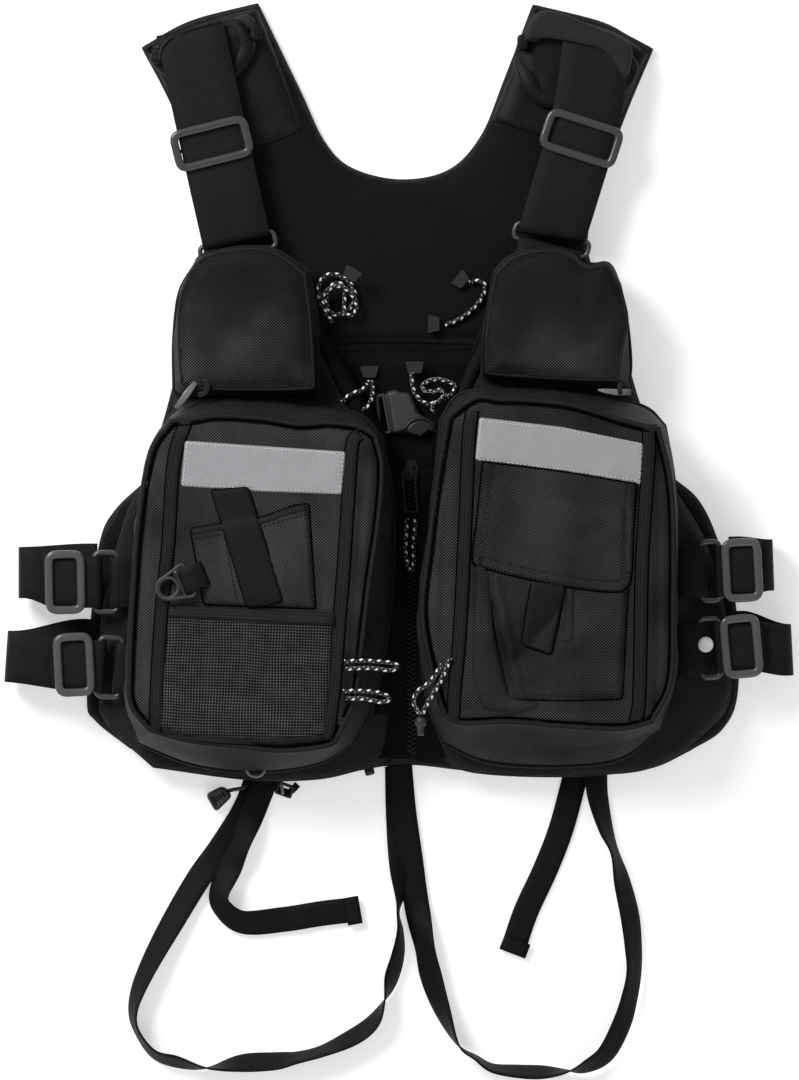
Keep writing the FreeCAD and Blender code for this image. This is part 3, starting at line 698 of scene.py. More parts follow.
# Pockets: the sewn-down edge and the piped edge of the face, four matching sides each,
# top, right, bottom, left.
CHEST_L_BASE = [
    [(-149, 98), (-143, 105), (-115, 111), (-91, 109), (-67, 94)],
    [(-67, 94), (-61, 60), (-60, 8)],
    [(-60, 8), (-64, 3), (-120, 1), (-160, 4), (-164, 10)],
    [(-164, 10), (-164, 45), (-160, 78), (-149, 98)],
]
CHEST_L_FACE = [
    [(-153, 92), (-142, 104), (-115, 110), (-91, 107), (-69, 92)],
    [(-69, 92), (-65, 60), (-63, 30), (-62, 12)],
    [(-62, 12), (-66, 8), (-105, 7), (-150, 8), (-159, 12)],
    [(-159, 12), (-161, 42), (-160, 72), (-153, 92)],
]
CHEST_R_BASE = [
    [(70, 94), (83, 105), (107, 110), (124, 107), (136, 97), (152, 99), (160, 84)],
    [(160, 84), (165, 60), (168, 30), (167, 12)],
    [(167, 12), (165, 8), (115, 11), (68, 14), (61, 17)],
    [(61, 17), (62, 45), (66, 72), (70, 94)],
]
CHEST_R_FACE = [
    [(70, 92), (84, 104), (107, 109), (124, 105), (137, 96), (151, 98), (161, 82)],
    [(161, 82), (166, 58), (162, 35), (160, 18)],
    [(160, 18), (155, 14), (115, 15), (70, 18), (63, 20)],
    [(63, 20), (63, 45), (66, 70), (70, 92)],
]
MAIN_L_BASE = [
    [(-167, -12), (-150, 0), (-112, 3), (-66, -3), (-30, -11), (-13, -28)],
    [(-13, -28), (-5, -75), (-5, -125), (-10, -176), (-20, -222), (-34, -250)],
    [(-34, -250), (-60, -265), (-106, -271), (-153, -265), (-190, -250)],
    [(-190, -250), (-199, -215), (-197, -172), (-192, -110), (-181, -45), (-167, -12)],
]
MAIN_L_FACE = [
    [(-166, -15), (-153, -14), (-131, -11), (-99, -13), (-73, -17), (-51, -16), (-29, -19), (-17, -26)],
    [(-17, -26), (-12, -50), (-15, -90), (-21, -131), (-26, -172), (-31, -215), (-43, -243)],
    [(-43, -243), (-51, -252), (-85, -256), (-117, -253), (-153, -249), (-182, -241)],
    [(-182, -241), (-196, -222), (-197, -195), (-194, -135), (-190, -85), (-181, -37), (-166, -15)],
]
MAIN_R_BASE = [
    [(31, -14), (45, 4), (86, 10), (134, 5), (177, -5), (193, -19)],
    [(193, -19), (200, -62), (202, -130), (201, -196), (190, -240)],
    [(190, -240), (160, -262), (115, -267), (65, -264), (32, -250)],
    [(32, -250), (20, -215), (15, -157), (21, -110), (26, -62), (31, -14)],
]
MAIN_R_FACE = [
    [(35, -12), (55, 2), (73, 1), (99, 0), (128, -4), (164, -15), (189, -21)],
    [(189, -21), (197, -55), (200, -90), (200, -150), (198, -205), (184, -235)],
    [(184, -235), (161, -240), (115, -238), (80, -235), (46, -236), (32, -230)],
    [(32, -230), (25, -205), (16, -157), (21, -105), (27, -58), (35, -12)],
]
BACK_TOP, FRONT_LOW, FRONT_TOP = 14.0, 26.0, 32.0
MAIN_ZIP = 72.3

# ---------------------------------------------------------------- camera, floor and light
camera_data = bpy.data.cameras.new("camera")
camera_data.lens = 500.0
camera_data.clip_end = 40.0
camera = placed("camera", camera_data)
FRAME_HIGH, SENSOR = 0.788, 36.0
camera.location = (0.0, -0.1022, 0.04 + camera_data.lens * FRAME_HIGH / SENSOR)
bpy.context.scene.camera = camera

pale = Look("pale_floor", (0.85, 0.85, 0.85), rough=0.9, spec=0.1)
pale.inputs["Emission Color"].default_value = (1, 1, 1, 1)
pale.inputs["Emission Strength"].default_value = 0.45
make("floor", [(x, y, -0.4) for x, y in oblong(0, 0, 0, 4000, 4000)], [[0, 1, 2, 3]], pale.mat,
              smooth_on=False)

bpy.context.scene.view_settings.view_transform = "Standard"
world = bpy.data.worlds.new("studio")
bpy.context.scene.world = world
world.use_nodes = True
world.node_tree.nodes["Background"].inputs[0].default_value = (1, 1, 1, 1)
world.node_tree.nodes["Background"].inputs[1].default_value = 0.36


def softbox(name, place, size, watts):
    data = bpy.data.lights.new(name, "AREA")
    data.shape = "RECTANGLE"
    data.size, data.size_y = size
    data.energy = watts
    lamp = placed(name, data)
    lamp.location = place
    lamp.rotation_euler = (Vector((0, -0.08, 0)) - Vector(place)).to_track_quat("-Z", "Y").to_euler()


softbox("key_light", (-1.3, 1.2, 1.7), (1.0, 1.0), 52)
softbox("low_light", (0.7, -2.2, 1.6), (1.8, 0.9), 14)


# ---------------------------------------------------------------- cords
def cord_line(points):
    """The smooth line through a cord's route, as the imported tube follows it."""
    curve = bpy.data.curves.new("line", "CURVE")
    curve.dimensions = "3D"
    curve.resolution_u = 16
    s = curve.splines.new("NURBS")
    s.points.add(len(points) - 1)
    for p, q in zip(s.points, points):
        p.co = (*q, 1)
    s.use_endpoint_u = True
    s.order_u = 3
    holder = placed("line", curve)
    mesh = bpy.data.meshes.new_from_object(holder)
    pts = np.array([v.co for v in mesh.vertices])
    bpy.data.objects.remove(holder)
    bpy.data.curves.remove(curve)
    bpy.data.meshes.remove(mesh)
    return resample(pts, 0.8)


def pull_cord(letter, points, body, stands=True):
    line = cord_line(points)
    obj = tube("pull_cord_%s_braid" % letter, line, 1.5, CORDING)
    sewn(obj, body, ["pull_cord_" + letter[0]] if stands else ())
    travel(line)[-1] * MM


CORD_B = [(51, 86, 17), (57, 88, 16.8), (62.5, 86, 18), (63, 80, 18), (58, 71, 17), (50, 63, 16.3),
          (41, 57.5, 16.3), (33.5, 55, 16.3)]
CORD_C = [(-42, -1.5, 35.2), (-37, 4, 35.6), (-31, 6, 35.6), (-25.5, 8.5, 34), (-23.4, 12, 25),
          (-22.2, 14.6, 18), (-20, 12.5, 18.5), (-19.6, 8, 24), (-20, 1.5, 31), (-22.5, -4, 35.8),
          (-27, -8, 36.2)]
CORD_E = [(5.4, -86.5, 29.4), (5.0, -97, 28.6), (4.2, -108, 28.4), (5.2, -119, 28.4), (8.6, -126.5, 28.4),
          (11, -118, 28.4), (9.8, -107, 28.4), (11.4, -96, 28.6), (11.8, -86.5, 29.4)]
CORD_F1 = [(-40, -190.5, 81.9), (-28, -189.5, 81.9), (-16, -190.5, 81.9), (-5, -191.2, 81.2),
           (0.4, -194.3, 80.5), (-6, -197.6, 81.2), (-17, -195.4, 81.9), (-28, -195.2, 81.9),
           (-39, -196, 81.9)]
CORD_F2 = [(-41, -212, 81.9), (-31, -211.6, 81.9), (-20, -212.2, 81.9), (-11, -214, 81.2),
           (-5.6, -217.6, 80.5), (-12, -220.6, 81.2), (-21, -218.5, 81.9), (-29, -217, 81.9),
           (-39, -217.6, 81.9)]
CORD_G = [(37, -188, 82), (34, -196, 82), (30, -205, 82.2), (24.5, -214, 83), (19, -223, 79.5),
          (16.5, -230, 75.5), (12.5, -226, 75.5), (9.6, -219, 78), (13, -211.5, 81.5), (20, -207.5, 82.6),
          (26, -201, 82.2), (30.5, -192.5, 82)]
# heaped cord: loops over each other beside the left chest pocket and beside the buckle
CORD_A = [(-57, 70, 22), (-60, 79, 22), (-58, 88, 21), (-51, 93, 20), (-42, 91, 19), (-35, 85, 18.5),
          (-32, 77, 19), (-34, 69, 20), (-41, 63, 20.5), (-48, 62, 21), (-53, 67, 22.5), (-54, 75, 24),
          (-51, 83, 25), (-45, 87, 25), (-40, 83, 24), (-40, 75, 23.5), (-41, 66, 24), (-37, 61, 24),
          (-32, 64, 23.5), (-31, 71, 24), (-36, 79, 27), (-43, 84, 28.5), (-51, 82, 28), (-57, 76, 26),
          (-56, 68, 25), (-52, 60, 23), (-48, 57, 22)]
CORD_D = [(9, 20, 28), (9, 12, 28), (11, 5, 28.4), (17, -2, 29), (24, -3, 30), (33, 1, 32), (40, 6, 33),
          (41, 11, 33), (34, 14.5, 32), (25, 15.5, 31), (18, 13, 31), (16, 8, 32), (22, 5.5, 33),
          (31, 8, 34.5), (34, 4, 35), (28, -1, 34), (22, -5, 33), (26, -9, 32)]


# ---------------------------------------------------------------- back panel
BACK_EDGE, SEAM_HALF = 5.0, 80
back_ring = ring_of(BACK)


def back_height(x, y, d):
    z = BACK_EDGE + (BACK_TOP - BACK_EDGE) * dome(d, 17) + 0.9 * crumple(x, y, 38, 3)
    seam = 3.2 * bell((y - 44 - 0.02 * x) / 2.6) + 1.6 * bell((y - 36) / 2.0)
    return z - seam * (np.abs(x) < SEAM_HALF)


def back_surface(x, y):
    return back_height(x, y, edge_distance(np.atleast_1d(x), np.atleast_1d(y), back_ring))


back = cushion("back_pad", back_ring, back_height, lambda x, y, d: 0.3 + 3.0 * (1 - dome(d, 8)), LINING, 3.4)
sewn(back, "back_panel", ["back_cover", "back_foam", "back_lining"])
sewn(rim("back_binding", back_ring,
         [(-0.9, 2.4), (-0.9, 5.4), (0.4, 7.3), (3.4, 9.6), (6.8, 11.6), (7.0, 10.6), (3.4, 8.2), (1.2, 5.6),
          (1.2, 2.8), (6.6, 1.0), (6.6, 0.3), (0.2, 0.9)], BINDING), "back_panel")

YOKE_L = [[(-104, 287), (-151, 274), (-185, 256)], [(-185, 256), (-168, 222), (-155, 190)],
          [(-155, 190), (-107, 185), (-71, 197)], [(-71, 197), (-85, 238), (-104, 287)]]
YOKE_R = [[(99, 285), (84, 246), (67, 205)], [(67, 205), (94, 196), (148, 178)],
          [(148, 178), (163, 210), (182, 254)], [(182, 254), (167, 264), (145, 274), (99, 285)]]
for side, stretches, seed in (("left", YOKE_L, 11), ("right", YOKE_R, 14)):
    sewn(patch("yoke_" + side, ring_of(stretches), back_surface, NYLON, lift=1.6, edge=2.5,
               extra=lambda x, y, d: 1.3 * crumple(x, y, 26, seed) * dome(d, 8)), "back_panel")

# the lower part of the lining, a plain band between the seam and the front zip
BAND = [[(-78, 41), (0, 43), (78, 40)], [(78, 40), (74, -20), (70, -60)], [(70, -60), (0, -62), (-70, -60)],
        [(-70, -60), (-76, -20), (-78, 41)]]
sewn(patch("waist_band", ring_of(BAND), back_surface, DARK_CLOTH, lift=1.4,
           extra=lambda x, y, d: 0.8 * crumple(x, y, 30, 21) - 0.9 * bell((y - 32) / 1.6)), "back_panel")
sewn(stitches([(-74, 37.5), (74, 36.5)], back_surface, 1.75, name="waist_stitches"), "back_panel")

# ---------------------------------------------------------------- shoulders
PAD_L = [(-106, 262), (-112, 243), (-126, 232), (-150, 226), (-172, 238), (-182, 252), (-160, 268),
         (-120, 279)]
PAD_R = [(84, 250), (89, 232), (100, 217), (120, 211), (148, 210), (165, 224), (174, 246), (152, 264),
         (112, 278), (92, 270)]
for side, points, seed in (("left", PAD_L, 31), ("right", PAD_R, 35)):
    ring = closed_spline(points)
    pad = cushion("shoulder_pad_" + side, ring,
                  lambda x, y, d: (back_surface(x, y) + 1.0 + 7.5 * dome(d, 13)
                                   + 1.2 * crumple(x, y, 20, seed)),
                  lambda x, y, d: back_surface(x, y) - 1.0, NYLON, 2.6)
    sewn(pad, "back_panel", stands=["shoulder_pads"] if side == "left" else ())
    sewn(rim("pad_piping_" + side, ring, soft_box(6.0, 6.0, 6.4, 3.8, 18, 0.9), NYLON, lift=back_surface),
         "back_panel")

# rings that hold the shoulder straps: x, y and lean in degrees
SHOULDER = {"left": (-118.0, 112.0, 12.5), "right": (111.0, 117.0, -16.0)}
RING_Z = 29.0
# the strap's own line: distance from the ring, x, y, lean in degrees
SPINE = {"left": [(0, -118, 112, 12.5), (77, -135, 187.2, 12.5), (163, -153.3, 271.1, 12.5)],
         "right": [(0, 110, 116.5, -8), (36, 120.5, 151, -15), (77, 132.4, 190.5, -18),
                   (112, 139.5, 224, -11), (151, 144.5, 262.5, -7)]}
for side, (x, y, turn) in SHOULDER.items():
    low, high, end = 26.2, 31.8, SPINE[side][-1][0]
    # under layer, turn round the ring, upper layer: distance from the ring and height
    path = [(end - 1, 24.4), (130, low), (90, low), (40, low), (8, low), (3.6, 26.6), (2.6, RING_Z),
            (3.6, 31.4), (8, high), (40, high + 0.3), (60, high), (77, high - 0.6), (92, high), (120, 30.8),
            (end - 17, 29.8), (end - 6, 28.6), (end, 26.6)]
    local = resample(np.array(path, float), 3.0)
    spine = spline(SPINE[side], 2.0)
    px, py, lean = (np.interp(local[:, 0], spine[:, 0], spine[:, k]) for k in (1, 2, 3))
    line, lean = np.stack([px, py, local[:, 1]], 1), np.radians(lean)
    strap = ribbon("shoulder_strap_" + side, line, 50.0, 1.5, WEBBING,
                   across=np.stack([np.cos(lean), np.sin(lean), 0 * lean], 1), round_path=False)
    near, far = turned([(0, 70, RING_Z), (0, 12, RING_Z)], x, y, turn)
    "front_" + side
    [v * MM for v in near]
    [v * MM for v in far]
    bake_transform(strap)
    travel(line)[-1] * MM
    if side == "left":
        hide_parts("shoulder_straps")

# cloth bands over the tops of the straps, and the two feet that hold each down
KEEP_L = [[(-177, 251), (-172, 262), (-156, 270), (-128, 278), (-112, 282)],
          [(-112, 282), (-106, 278), (-105, 268)],
          [(-105, 268), (-116, 275.5), (-132, 278), (-149, 274), (-162, 268), (-172, 258), (-175, 247)],
          [(-175, 247), (-177, 251)]]
KEEP_R = [[(168, 240), (170, 256), (160, 266), (140, 274), (118, 283)],
          [(118, 283), (103, 284), (94, 276), (90, 261)],
          [(90, 261), (104, 264), (122, 262), (146, 256), (158, 244), (164, 233)],
          [(164, 233), (168, 240)]]
for side, stretches, feet, seed in (("left", KEEP_L, [(-177, 251), (-105, 268)], 41),
                                    ("right", KEEP_R, [(164, 233), (90, 261)], 44)):
    keeper = cushion("strap_keeper_" + side, ring_of(stretches, 2.0),
                     lambda x, y, d: 30.5 + 2.2 * dome(d, 3.5) + 0.4 * crumple(x, y, 14, seed), 30.2,
                     BAND_CLOTH, 2.0)
    sewn(keeper, "back_panel", stands=["strap_keepers"] if side == "left" else ())
    for k, (x, y) in enumerate(feet):
        foot = cushion("keeper_foot_%s_%d" % (side, k), rounded_ring(oblong(x, y + 0.5, 0, 4, 5.5), 3.0),
                       lambda x, y, d: 29.6 + 0.8 * dome(d, 3), 16.0, NYLON, 2.0)
        sewn(foot, "back_panel")


# ---------------------------------------------------------------- front panels
def front_floor(x, y, d):
    """The underside of a front panel, which sinks towards the hem."""
    return FRONT_LOW - 0.6 - 5.5 * (1 - smooth(d / 34)) * smooth((-20 - y) / 60)


def front_height(seed):
    def height(x, y, d):
        swell = 2.2 + (FRONT_TOP - FRONT_LOW - 1.6) * dome(d, 9)
        return front_floor(x, y, d) + swell + 0.9 * crumple(x, y, 24, seed) * dome(d, 12)
    return height


FACINGS = {"left": [[(-3, -230), (-2, -117), (-9, -31), (-29, 9), (-52, 48), (-70, 90)],
                    [(-70, 90), (-80, 88)],
                    [(-80, 88), (-62, 46), (-44, 6), (-24, -34), (-18, -117), (-18, -230)],
                    [(-18, -230), (-3, -230)]],
           "right": [[(20, -230), (17, -175), (23, -62), (28, -17), (56, 42), (72, 90)], [(72, 90), (84, 88)],
                     [(84, 88), (68, 40), (42, -18), (38, -62), (32, -175), (34, -230)],
                     [(34, -230), (20, -230)]]}
on_front = {}
for side, stretches, seed in (("left", FRONT_LEFT, 51), ("right", FRONT_RIGHT, 57)):
    ring, body, height = ring_of(stretches), "front_" + side, front_height(seed)
    on_front[side] = on_ring(height, ring)
    cover = cushion("front_panel_" + side, ring, height, front_floor, PANEL, 3.2)
    sewn(cover, body, stands=["front_%s_cover" % side])
    sewn(rim("front_binding_" + side, ring,
             [(-0.7, -1.0), (-0.7, 1.4), (0.5, 3.0), (3.5, 4.3), (7.4, 5.0), (7.6, 4.0), (4.0, 1.0),
              (7.0, -0.6), (6.8, -1.3), (1.0, -1.6)], BINDING, lift=at_depth(front_floor, 0)), body)
for side, stretches in FACINGS.items():
    sewn(patch("front_facing_" + side, ring_of(stretches), on_front[side], DARK_CLOTH,
               lift=0.5, edge=1.5, step=3.2), "front_" + side)


# ---------------------------------------------------------------- pockets
def matched(stretches, counts):
    return np.vstack([resample(spline(s, 1.0), count=n + 1)[:-1] for s, n in zip(stretches, counts)])


def pocket(name, base, face, high, material, seed, counts, swell, stands, body, plain=None):
    """The gusset of a pocket: an open box whose walls lean from its sewn edge to its zip."""
    low = FRONT_TOP - 1
    a, b = matched(base, counts), matched(face, counts)
    out = -normals_of(a, True) * area_sign(a)
    rings = []
    for t in (0.0, 0.12, 0.3, 0.5, 0.7, 0.85, 0.95, 1.0):
        p = mix(a, b, smooth(t) ** 0.8)
        rough = 1.5 * noise(p[:, 0] + 60 * t, p[:, 1] - 40 * t, 15, seed)
        p = p + out * ((swell + rough) * math.sin(math.pi * t))[:, None]
        rings.append(np.c_[p, np.full(len(p), mix(low, high, t ** 0.85))])
    inner_top, inner_low = b - out * 1.6, mix(a, b, 0.3) - out * 2.4
    for p, z in ((inner_top, high), (mix(inner_low, inner_top, 0.5), mix(low, high, 0.5)),
                 (inner_low, low + 2.4)):
        rings.append(np.c_[p, np.full(len(p), z)])
    rings = np.array(rings)
    rise = np.linalg.norm(np.diff(rings, axis=0), axis=2).mean(1)
    uv = pairs(np.concatenate([[0], np.cumsum(rise)]), travel(rings[len(rings) // 2]))[..., ::-1]
    obj = skin(name, rings, uv, material, caps_flip=True)
    if plain:
        obj.data.materials.append(BAND_CLOTH)
        for k, poly in enumerate(obj.data.polygons):
            poly.material_index = int(plain(k // len(a), k % len(a)))
    sewn(obj, body, stands=[stands])


def top_of(edge_z, rise, reach, seed, rough, more, size):
    """The height of a pocket's face: a soft dome from its piped edge."""
    def height(x, y, d):
        z = edge_z + rise * dome(d, reach) + rough * crumple(x, y, size, seed) * dome(d, 14)
        return z - 1.6 * bell((d - 4.4) / 1.5) + more(x, y)
    return height


def lid(kind, side, ring, height, material, radius):
    """The zipped face of a pocket, its piping, and a near-black strip inside the piping as painted shade in
    the seam's groove.
    """
    body = "%s_lid_%s" % (kind, side)
    edge = at_depth(height, 0)
    obj = cushion("%s_lid_face_%s" % (kind, side), ring, height, lambda x, y, d: height(x, y, d) - 2.2,
                  material, 2.6)
    sewn(obj, body, stands=[body])
    name = "%s_piping_%s" % (kind, side)
    inset = 0.8
    sewn(rim(name, ring, circle_profile(inset, 0.9, radius), BINDING, lift=edge), body)
    cord = inset + radius
    # painted shade: a near-black strip in the groove inside the piping
    groove = [(cord - 0.6, -1.0), (cord - 0.6, 1.5), (cord + 0.5, 2.5), (cord + 1.6, 3.1), (cord + 1.6, -1.0)]
    sewn(rim(name + "_seam_shade", ring, groove, SHADE_LINE, lift=edge), body)


def shade_outline(name, ring, surface, body, out=0.9, rise=0.5):
    """A thin near-black outline round a sewn-on piece: painted shade where its edge stands over the cloth
    beneath.
    """
    profile = [(-out, -0.4), (-out, rise * 0.6), (0.1, rise), (0.9, rise), (0.9, -0.4)]
    sewn(rim(name, ring, profile, SHADE_LINE, lift=surface), body)


for side, base, edge, seed in (("left", CHEST_L_BASE, CHEST_L_FACE, 61),
                               ("right", CHEST_R_BASE, CHEST_R_FACE, 67)):
    pocket("chest_pocket_walls_" + side, base, edge, 54.6, PANEL, seed, (40, 30, 34, 30), 1.2,
           "chest_pocket_" + side, "front_" + side)
    ring = ring_of(edge)
    mid_x, mid_y = ring.mean(0)

    def belly(x, y):
        return 2.6 * np.exp(-(((x - mid_x) / 36) ** 2 + ((y - mid_y + 12) / 26) ** 2))
    lid("chest", side, ring, top_of(55.4, 8.6, 22, seed + 2, 0.9, belly, 26), CHEST, 1.8)

for name, base in (("main_left", MAIN_L_BASE), ("main_right", MAIN_R_BASE),
                   ("chest_left", CHEST_L_BASE), ("chest_right", CHEST_R_BASE)):
    ridge = rim(name + "_base_piping", ring_of(base), circle_profile(-0.6, FRONT_TOP + 0.4, 1.5, 8), BINDING)
    sewn(ridge, "front_" + name.split("_")[1])

# folds of the two big faces: from, to, rise, width
FOLDS = {"left": [((-26, -60), (-39, -236), -1.7, 2.6), ((-31, -70), (-44, -236), 0.9, 2.4),
                  ((-186, -60), (-188, -225), -1.3, 3.0), ((-175, -244), (-60, -247), -1.0, 2.6),
                  ((-160, -20), (-40, -23), -0.7, 2.6)],
         "right": [((35, -50), (29, -214), -1.7, 2.6), ((42, -46), (36, -214), 0.9, 2.4),
                   ((189, -40), (187, -222), -1.9, 3.0), ((42, -226), (178, -229), -1.4, 2.6),
                   ((60, -7), (178, -22), -0.8, 2.6)]}
MAIN_COUNTS = (40, 60, 36, 60)


def big_face(side, seed):
    def sag(x, y):
        return 1.1 * noise(x, y, 70, seed + 5) + sum(depth * crease(x, y, p, q, width)
                                                     for p, q, depth, width in FOLDS[side])
    return top_of(74.4, 4.2, 16, seed + 2, 0.75, sag, 34)


lids = []
for side, base, edge, seed, cloth in (("left", MAIN_L_BASE, MAIN_L_FACE, 71, ZIGZAG),
                                      ("right", MAIN_R_BASE, MAIN_R_FACE, 77, POCKET)):
    def plain_part(row, col):
        bottom = sum(MAIN_COUNTS[:2]) <= col < sum(MAIN_COUNTS[:3])
        return col < MAIN_COUNTS[0] or (bottom and (side == "left" or row >= 3))
    pocket("main_pocket_walls_" + side, base, edge, MAIN_ZIP - 0.3, POCKET, seed, MAIN_COUNTS, 2.0,
           "main_pocket_" + side, "front_" + side, plain_part)
    ring, height = ring_of(edge), big_face(side, seed)
    lids.append(on_ring(height, ring))
    lid("main", side, ring, height, cloth, 2.1)
face_l, face_r = lids

# ---------------------------------------------------------------- tapes and strips on both lids
LEFT_TAPES = [[(-155, -15), (-164, -45), (-168, -104), (-172.6, -150), (-175.6, -194), (-177.5, -241)],
              [(-29, -25), (-34.3, -33), (-37.4, -75), (-41, -128), (-44, -164), (-47.5, -209),
               (-52.4, -248)]]
RIGHT_TAPES = [[(53, -8), (50.4, -29), (48, -88), (44, -168), (40, -213), (39, -233)],
               [(182, -18), (181, -45), (178, -90), (176, -131), (174.5, -213), (172, -234)]]
REFLECT_L = [(-156, -30), (-98, -34), (-39, -38), (-42, -69), (-100, -67), (-159, -63)]
REFLECT_R = [(58, -13), (118, -20), (177, -32), (176, -62), (118, -52), (55, -44)]
TAPE_WIDE = 8.6
for side, tapes, surface in (("left", LEFT_TAPES, face_l), ("right", RIGHT_TAPES, face_r)):
    strips = [draped("t", t, TAPE_WIDE, surface, BINDING, 0.4, 0.9, 2.5) for t in tapes]
    # painted shade: a near-black band a little wider than each tape, showing as dark lines along both its
    # edges
    edges = [draped("t", t, TAPE_WIDE + 2, surface, SHADE_LINE, 0.1, 0.5, 2.5) for t in tapes]
    rows = [stitches(spline(t) + normals_of(spline(t)) * off, surface, 1.5, 0.45)
            for t in tapes for off in (-3.2, 3.2)]
    for name, parts in (("lid_tapes_", strips), ("lid_tape_edges_", edges), ("lid_tape_stitches_", rows)):
        sewn(joined(name + side, parts), "main_lid_" + side)

for side, strip_ring, surface, seed in (("left", REFLECT_L, face_l, 81), ("right", REFLECT_R, face_r, 84)):
    body = "main_lid_" + side
    strip = patch("reflective_tape_" + side, rounded_ring(strip_ring, 1.5), surface, SILVER, 0.5, 1.2, 2.4,
                  extra=lambda x, y, d: 0.35 + 0.25 * noise(x, y, 16, seed))
    sewn(strip, body, ["reflective_strip_" + side])
    "main_lid_face_" + side
    p = np.array(strip_ring, float)
    inner = p.mean(0) + (p - p.mean(0)) * np.array([0.975, 0.90])
    row = stitches(np.vstack([inner, inner[:1]]), surface, 1.15, 0.5, WHITE_THREAD, 3.0, 1.5,
                   "reflective_stitches_" + side)
    sewn(row, body)

# ---------------------------------------------------------------- what is sewn to the left lid
SLEEVE = [(-152, -94), (-135, -91), (-101, -86), (-84, -80), (-76, -77), (-66, -76), (-61, -152),
          (-142, -149)]
sleeve_ring = rounded_ring(SLEEVE, 2.0)
sleeve = patch("tool_sleeve_cloth", sleeve_ring, face_l, ZIGZAG, lift=2.0, step=2.4, turn=0.12,
               extra=lambda x, y, d: 1.6 * dome(d, 14) + 0.6 * crumple(x, y, 15, 91))
sewn(sleeve, "main_lid_left", stands=["tool_sleeve"])
on_sleeve = on_ring(lambda x, y, d: face_l(x, y) + 0.1 + 2.0 * dome(d, 2.0) + 1.6 * dome(d, 14), sleeve_ring)
hem = draped("sleeve_hem", [(-151, -96), (-135, -93), (-101, -88), (-84, -82), (-68, -78)], 5.0, on_sleeve,
             BINDING, 0.1, 0.7)
sewn(hem, "main_lid_left")
rows = [stitches(line, on_sleeve, lift, 0.5)
        for line, lift in (([(-148, -101), (-101, -93), (-69, -83)], 0.7), ([(-68, -80), (-63.5, -150)], 0.5),
                           ([(-149, -97), (-139.5, -148)], 0.5), ([(-128, -96), (-118, -148)], 0.7))]
sewn(joined("sleeve_stitches", rows), "main_lid_left")
shade_outline("sleeve_edge", sleeve_ring, face_l, "main_lid_left")

RING_AT = (-168.0, -137.0, 22.0)
tab_path = [(22, 0, 82.4), (14, 0, 82.4), (11.4, 0, 83.2), (10.6, 0, 85.4), (11.4, 0, 87.6), (14, 0, 88.4),
            (22, 0, 88.2), (27, 0, 86.0), (29, 0, 83.6)]
ring_tab = ribbon("ring_tab", turned(tab_path, *RING_AT), 17.5, 1.1, WEBBING,
                  across=turned([(0, 1, 0)], 0, 0, RING_AT[2])[0])
sewn(ring_tab, "main_lid_left")


def strap_height(x, y, d):
    """The tool strap lies on the lid or the sleeve, whichever is higher."""
    base = np.maximum(on_sleeve(x, y), face_l(x, y) + 1.0)
    return base + 1.2 + 0.5 * dome(d, 1.5) + 0.5 * np.sin((y + 66) / 26.0)


STRAP_TOOL = [(-137, -66), (-110, -64), (-97, -105), (-85, -147), (-99, -150), (-111, -151), (-124, -108)]
ring = rounded_ring(STRAP_TOOL, 2.0)
strap = cushion("tool_strap_webbing", ring, strap_height, lambda x, y, d: strap_height(x, y, d) - 1.6,
                WEBBING, 2.4, turn=-1.27)
sewn(strap, "tool_strap", ["tool_strap"])
shade_outline("tool_strap_edge", ring, at_depth(strap_height, 0, -0.9), "tool_strap", 0.7)
row = stitches([(-109, -145), (-88, -142)], at_depth(strap_height, 3), 0.2, 0.5, name="tool_strap_stitches")
sewn(row, "tool_strap")

# open netting pocket
NETTING = [(-168, -152), (-108, -155), (-48, -158), (-50, -205), (-55, -247), (-100, -250), (-150, -247),
           (-174, -240), (-171, -195)]
net_ring = rounded_ring(NETTING, 3.0)


def net_height(x, y, d):
    folds = 1.5 * np.sin((y + 0.3 * x + 5 * np.sin(x / 14.0)) / 5.5) * smooth((-190 - y) / 35)
    return face_l(x, y) + 1.2 + 2.2 * dome(d, 12) + 0.7 * crumple(x, y, 20, 95) + folds * dome(d, 10)


# painted shade: a near-black sheet under the net, so its holes show shade
sewn(patch("net_shade_sheet", net_ring, face_l, DARK_CLOTH, lift=0.25, edge=1.0), "main_lid_left")
net = cushion("net_pocket", net_ring, net_height, lambda x, y, d: net_height(x, y, d) - 0.5, NET, 2.6,
              turn=-0.03)
sewn(net, "main_lid_left", ["mesh_pocket"])
on_net = on_ring(net_height, net_ring)
hems = [draped("t", [(-168, -154), (-108, -157), (-47, -160)], 9.0, on_net, BINDING, 0.2, 1.0),
        draped("t", [(-172, -240), (-150, -246), (-100, -249), (-56, -246)], 4.0, on_net, BINDING, 0.0, 0.8)]
sewn(joined("net_hems", hems), "main_lid_left")

# ---------------------------------------------------------------- what is sewn to the right lid
FLAP_POCKET = [(60, -110), (66, -66), (164, -78), (166, -142), (162, -218), (120, -219), (77, -218),
               (69, -170)]
pocket_ring = rounded_ring(FLAP_POCKET, 3.0)


def flap_pocket_height(x, y, d):
    pleat = -3.6 * crease(x, y, (67, -150), (80, -214), 3.0) + 2.6 * crease(x, y, (70, -130), (88, -216), 3.0)
    roll = 2.6 * crease(x, y, (92, -200), (140, -165), 9.0) - 2.4 * crease(x, y, (84, -190), (118, -150), 5.0)
    return face_r(x, y) + 0.4 + 3.6 * dome(d, 7) + 0.8 * crumple(x, y, 18, 101) + pleat + roll * dome(d, 8)


def on_pocket(x, y):
    return np.maximum(on_ring(flap_pocket_height, pocket_ring)(x, y), face_r(x, y) + 0.3)


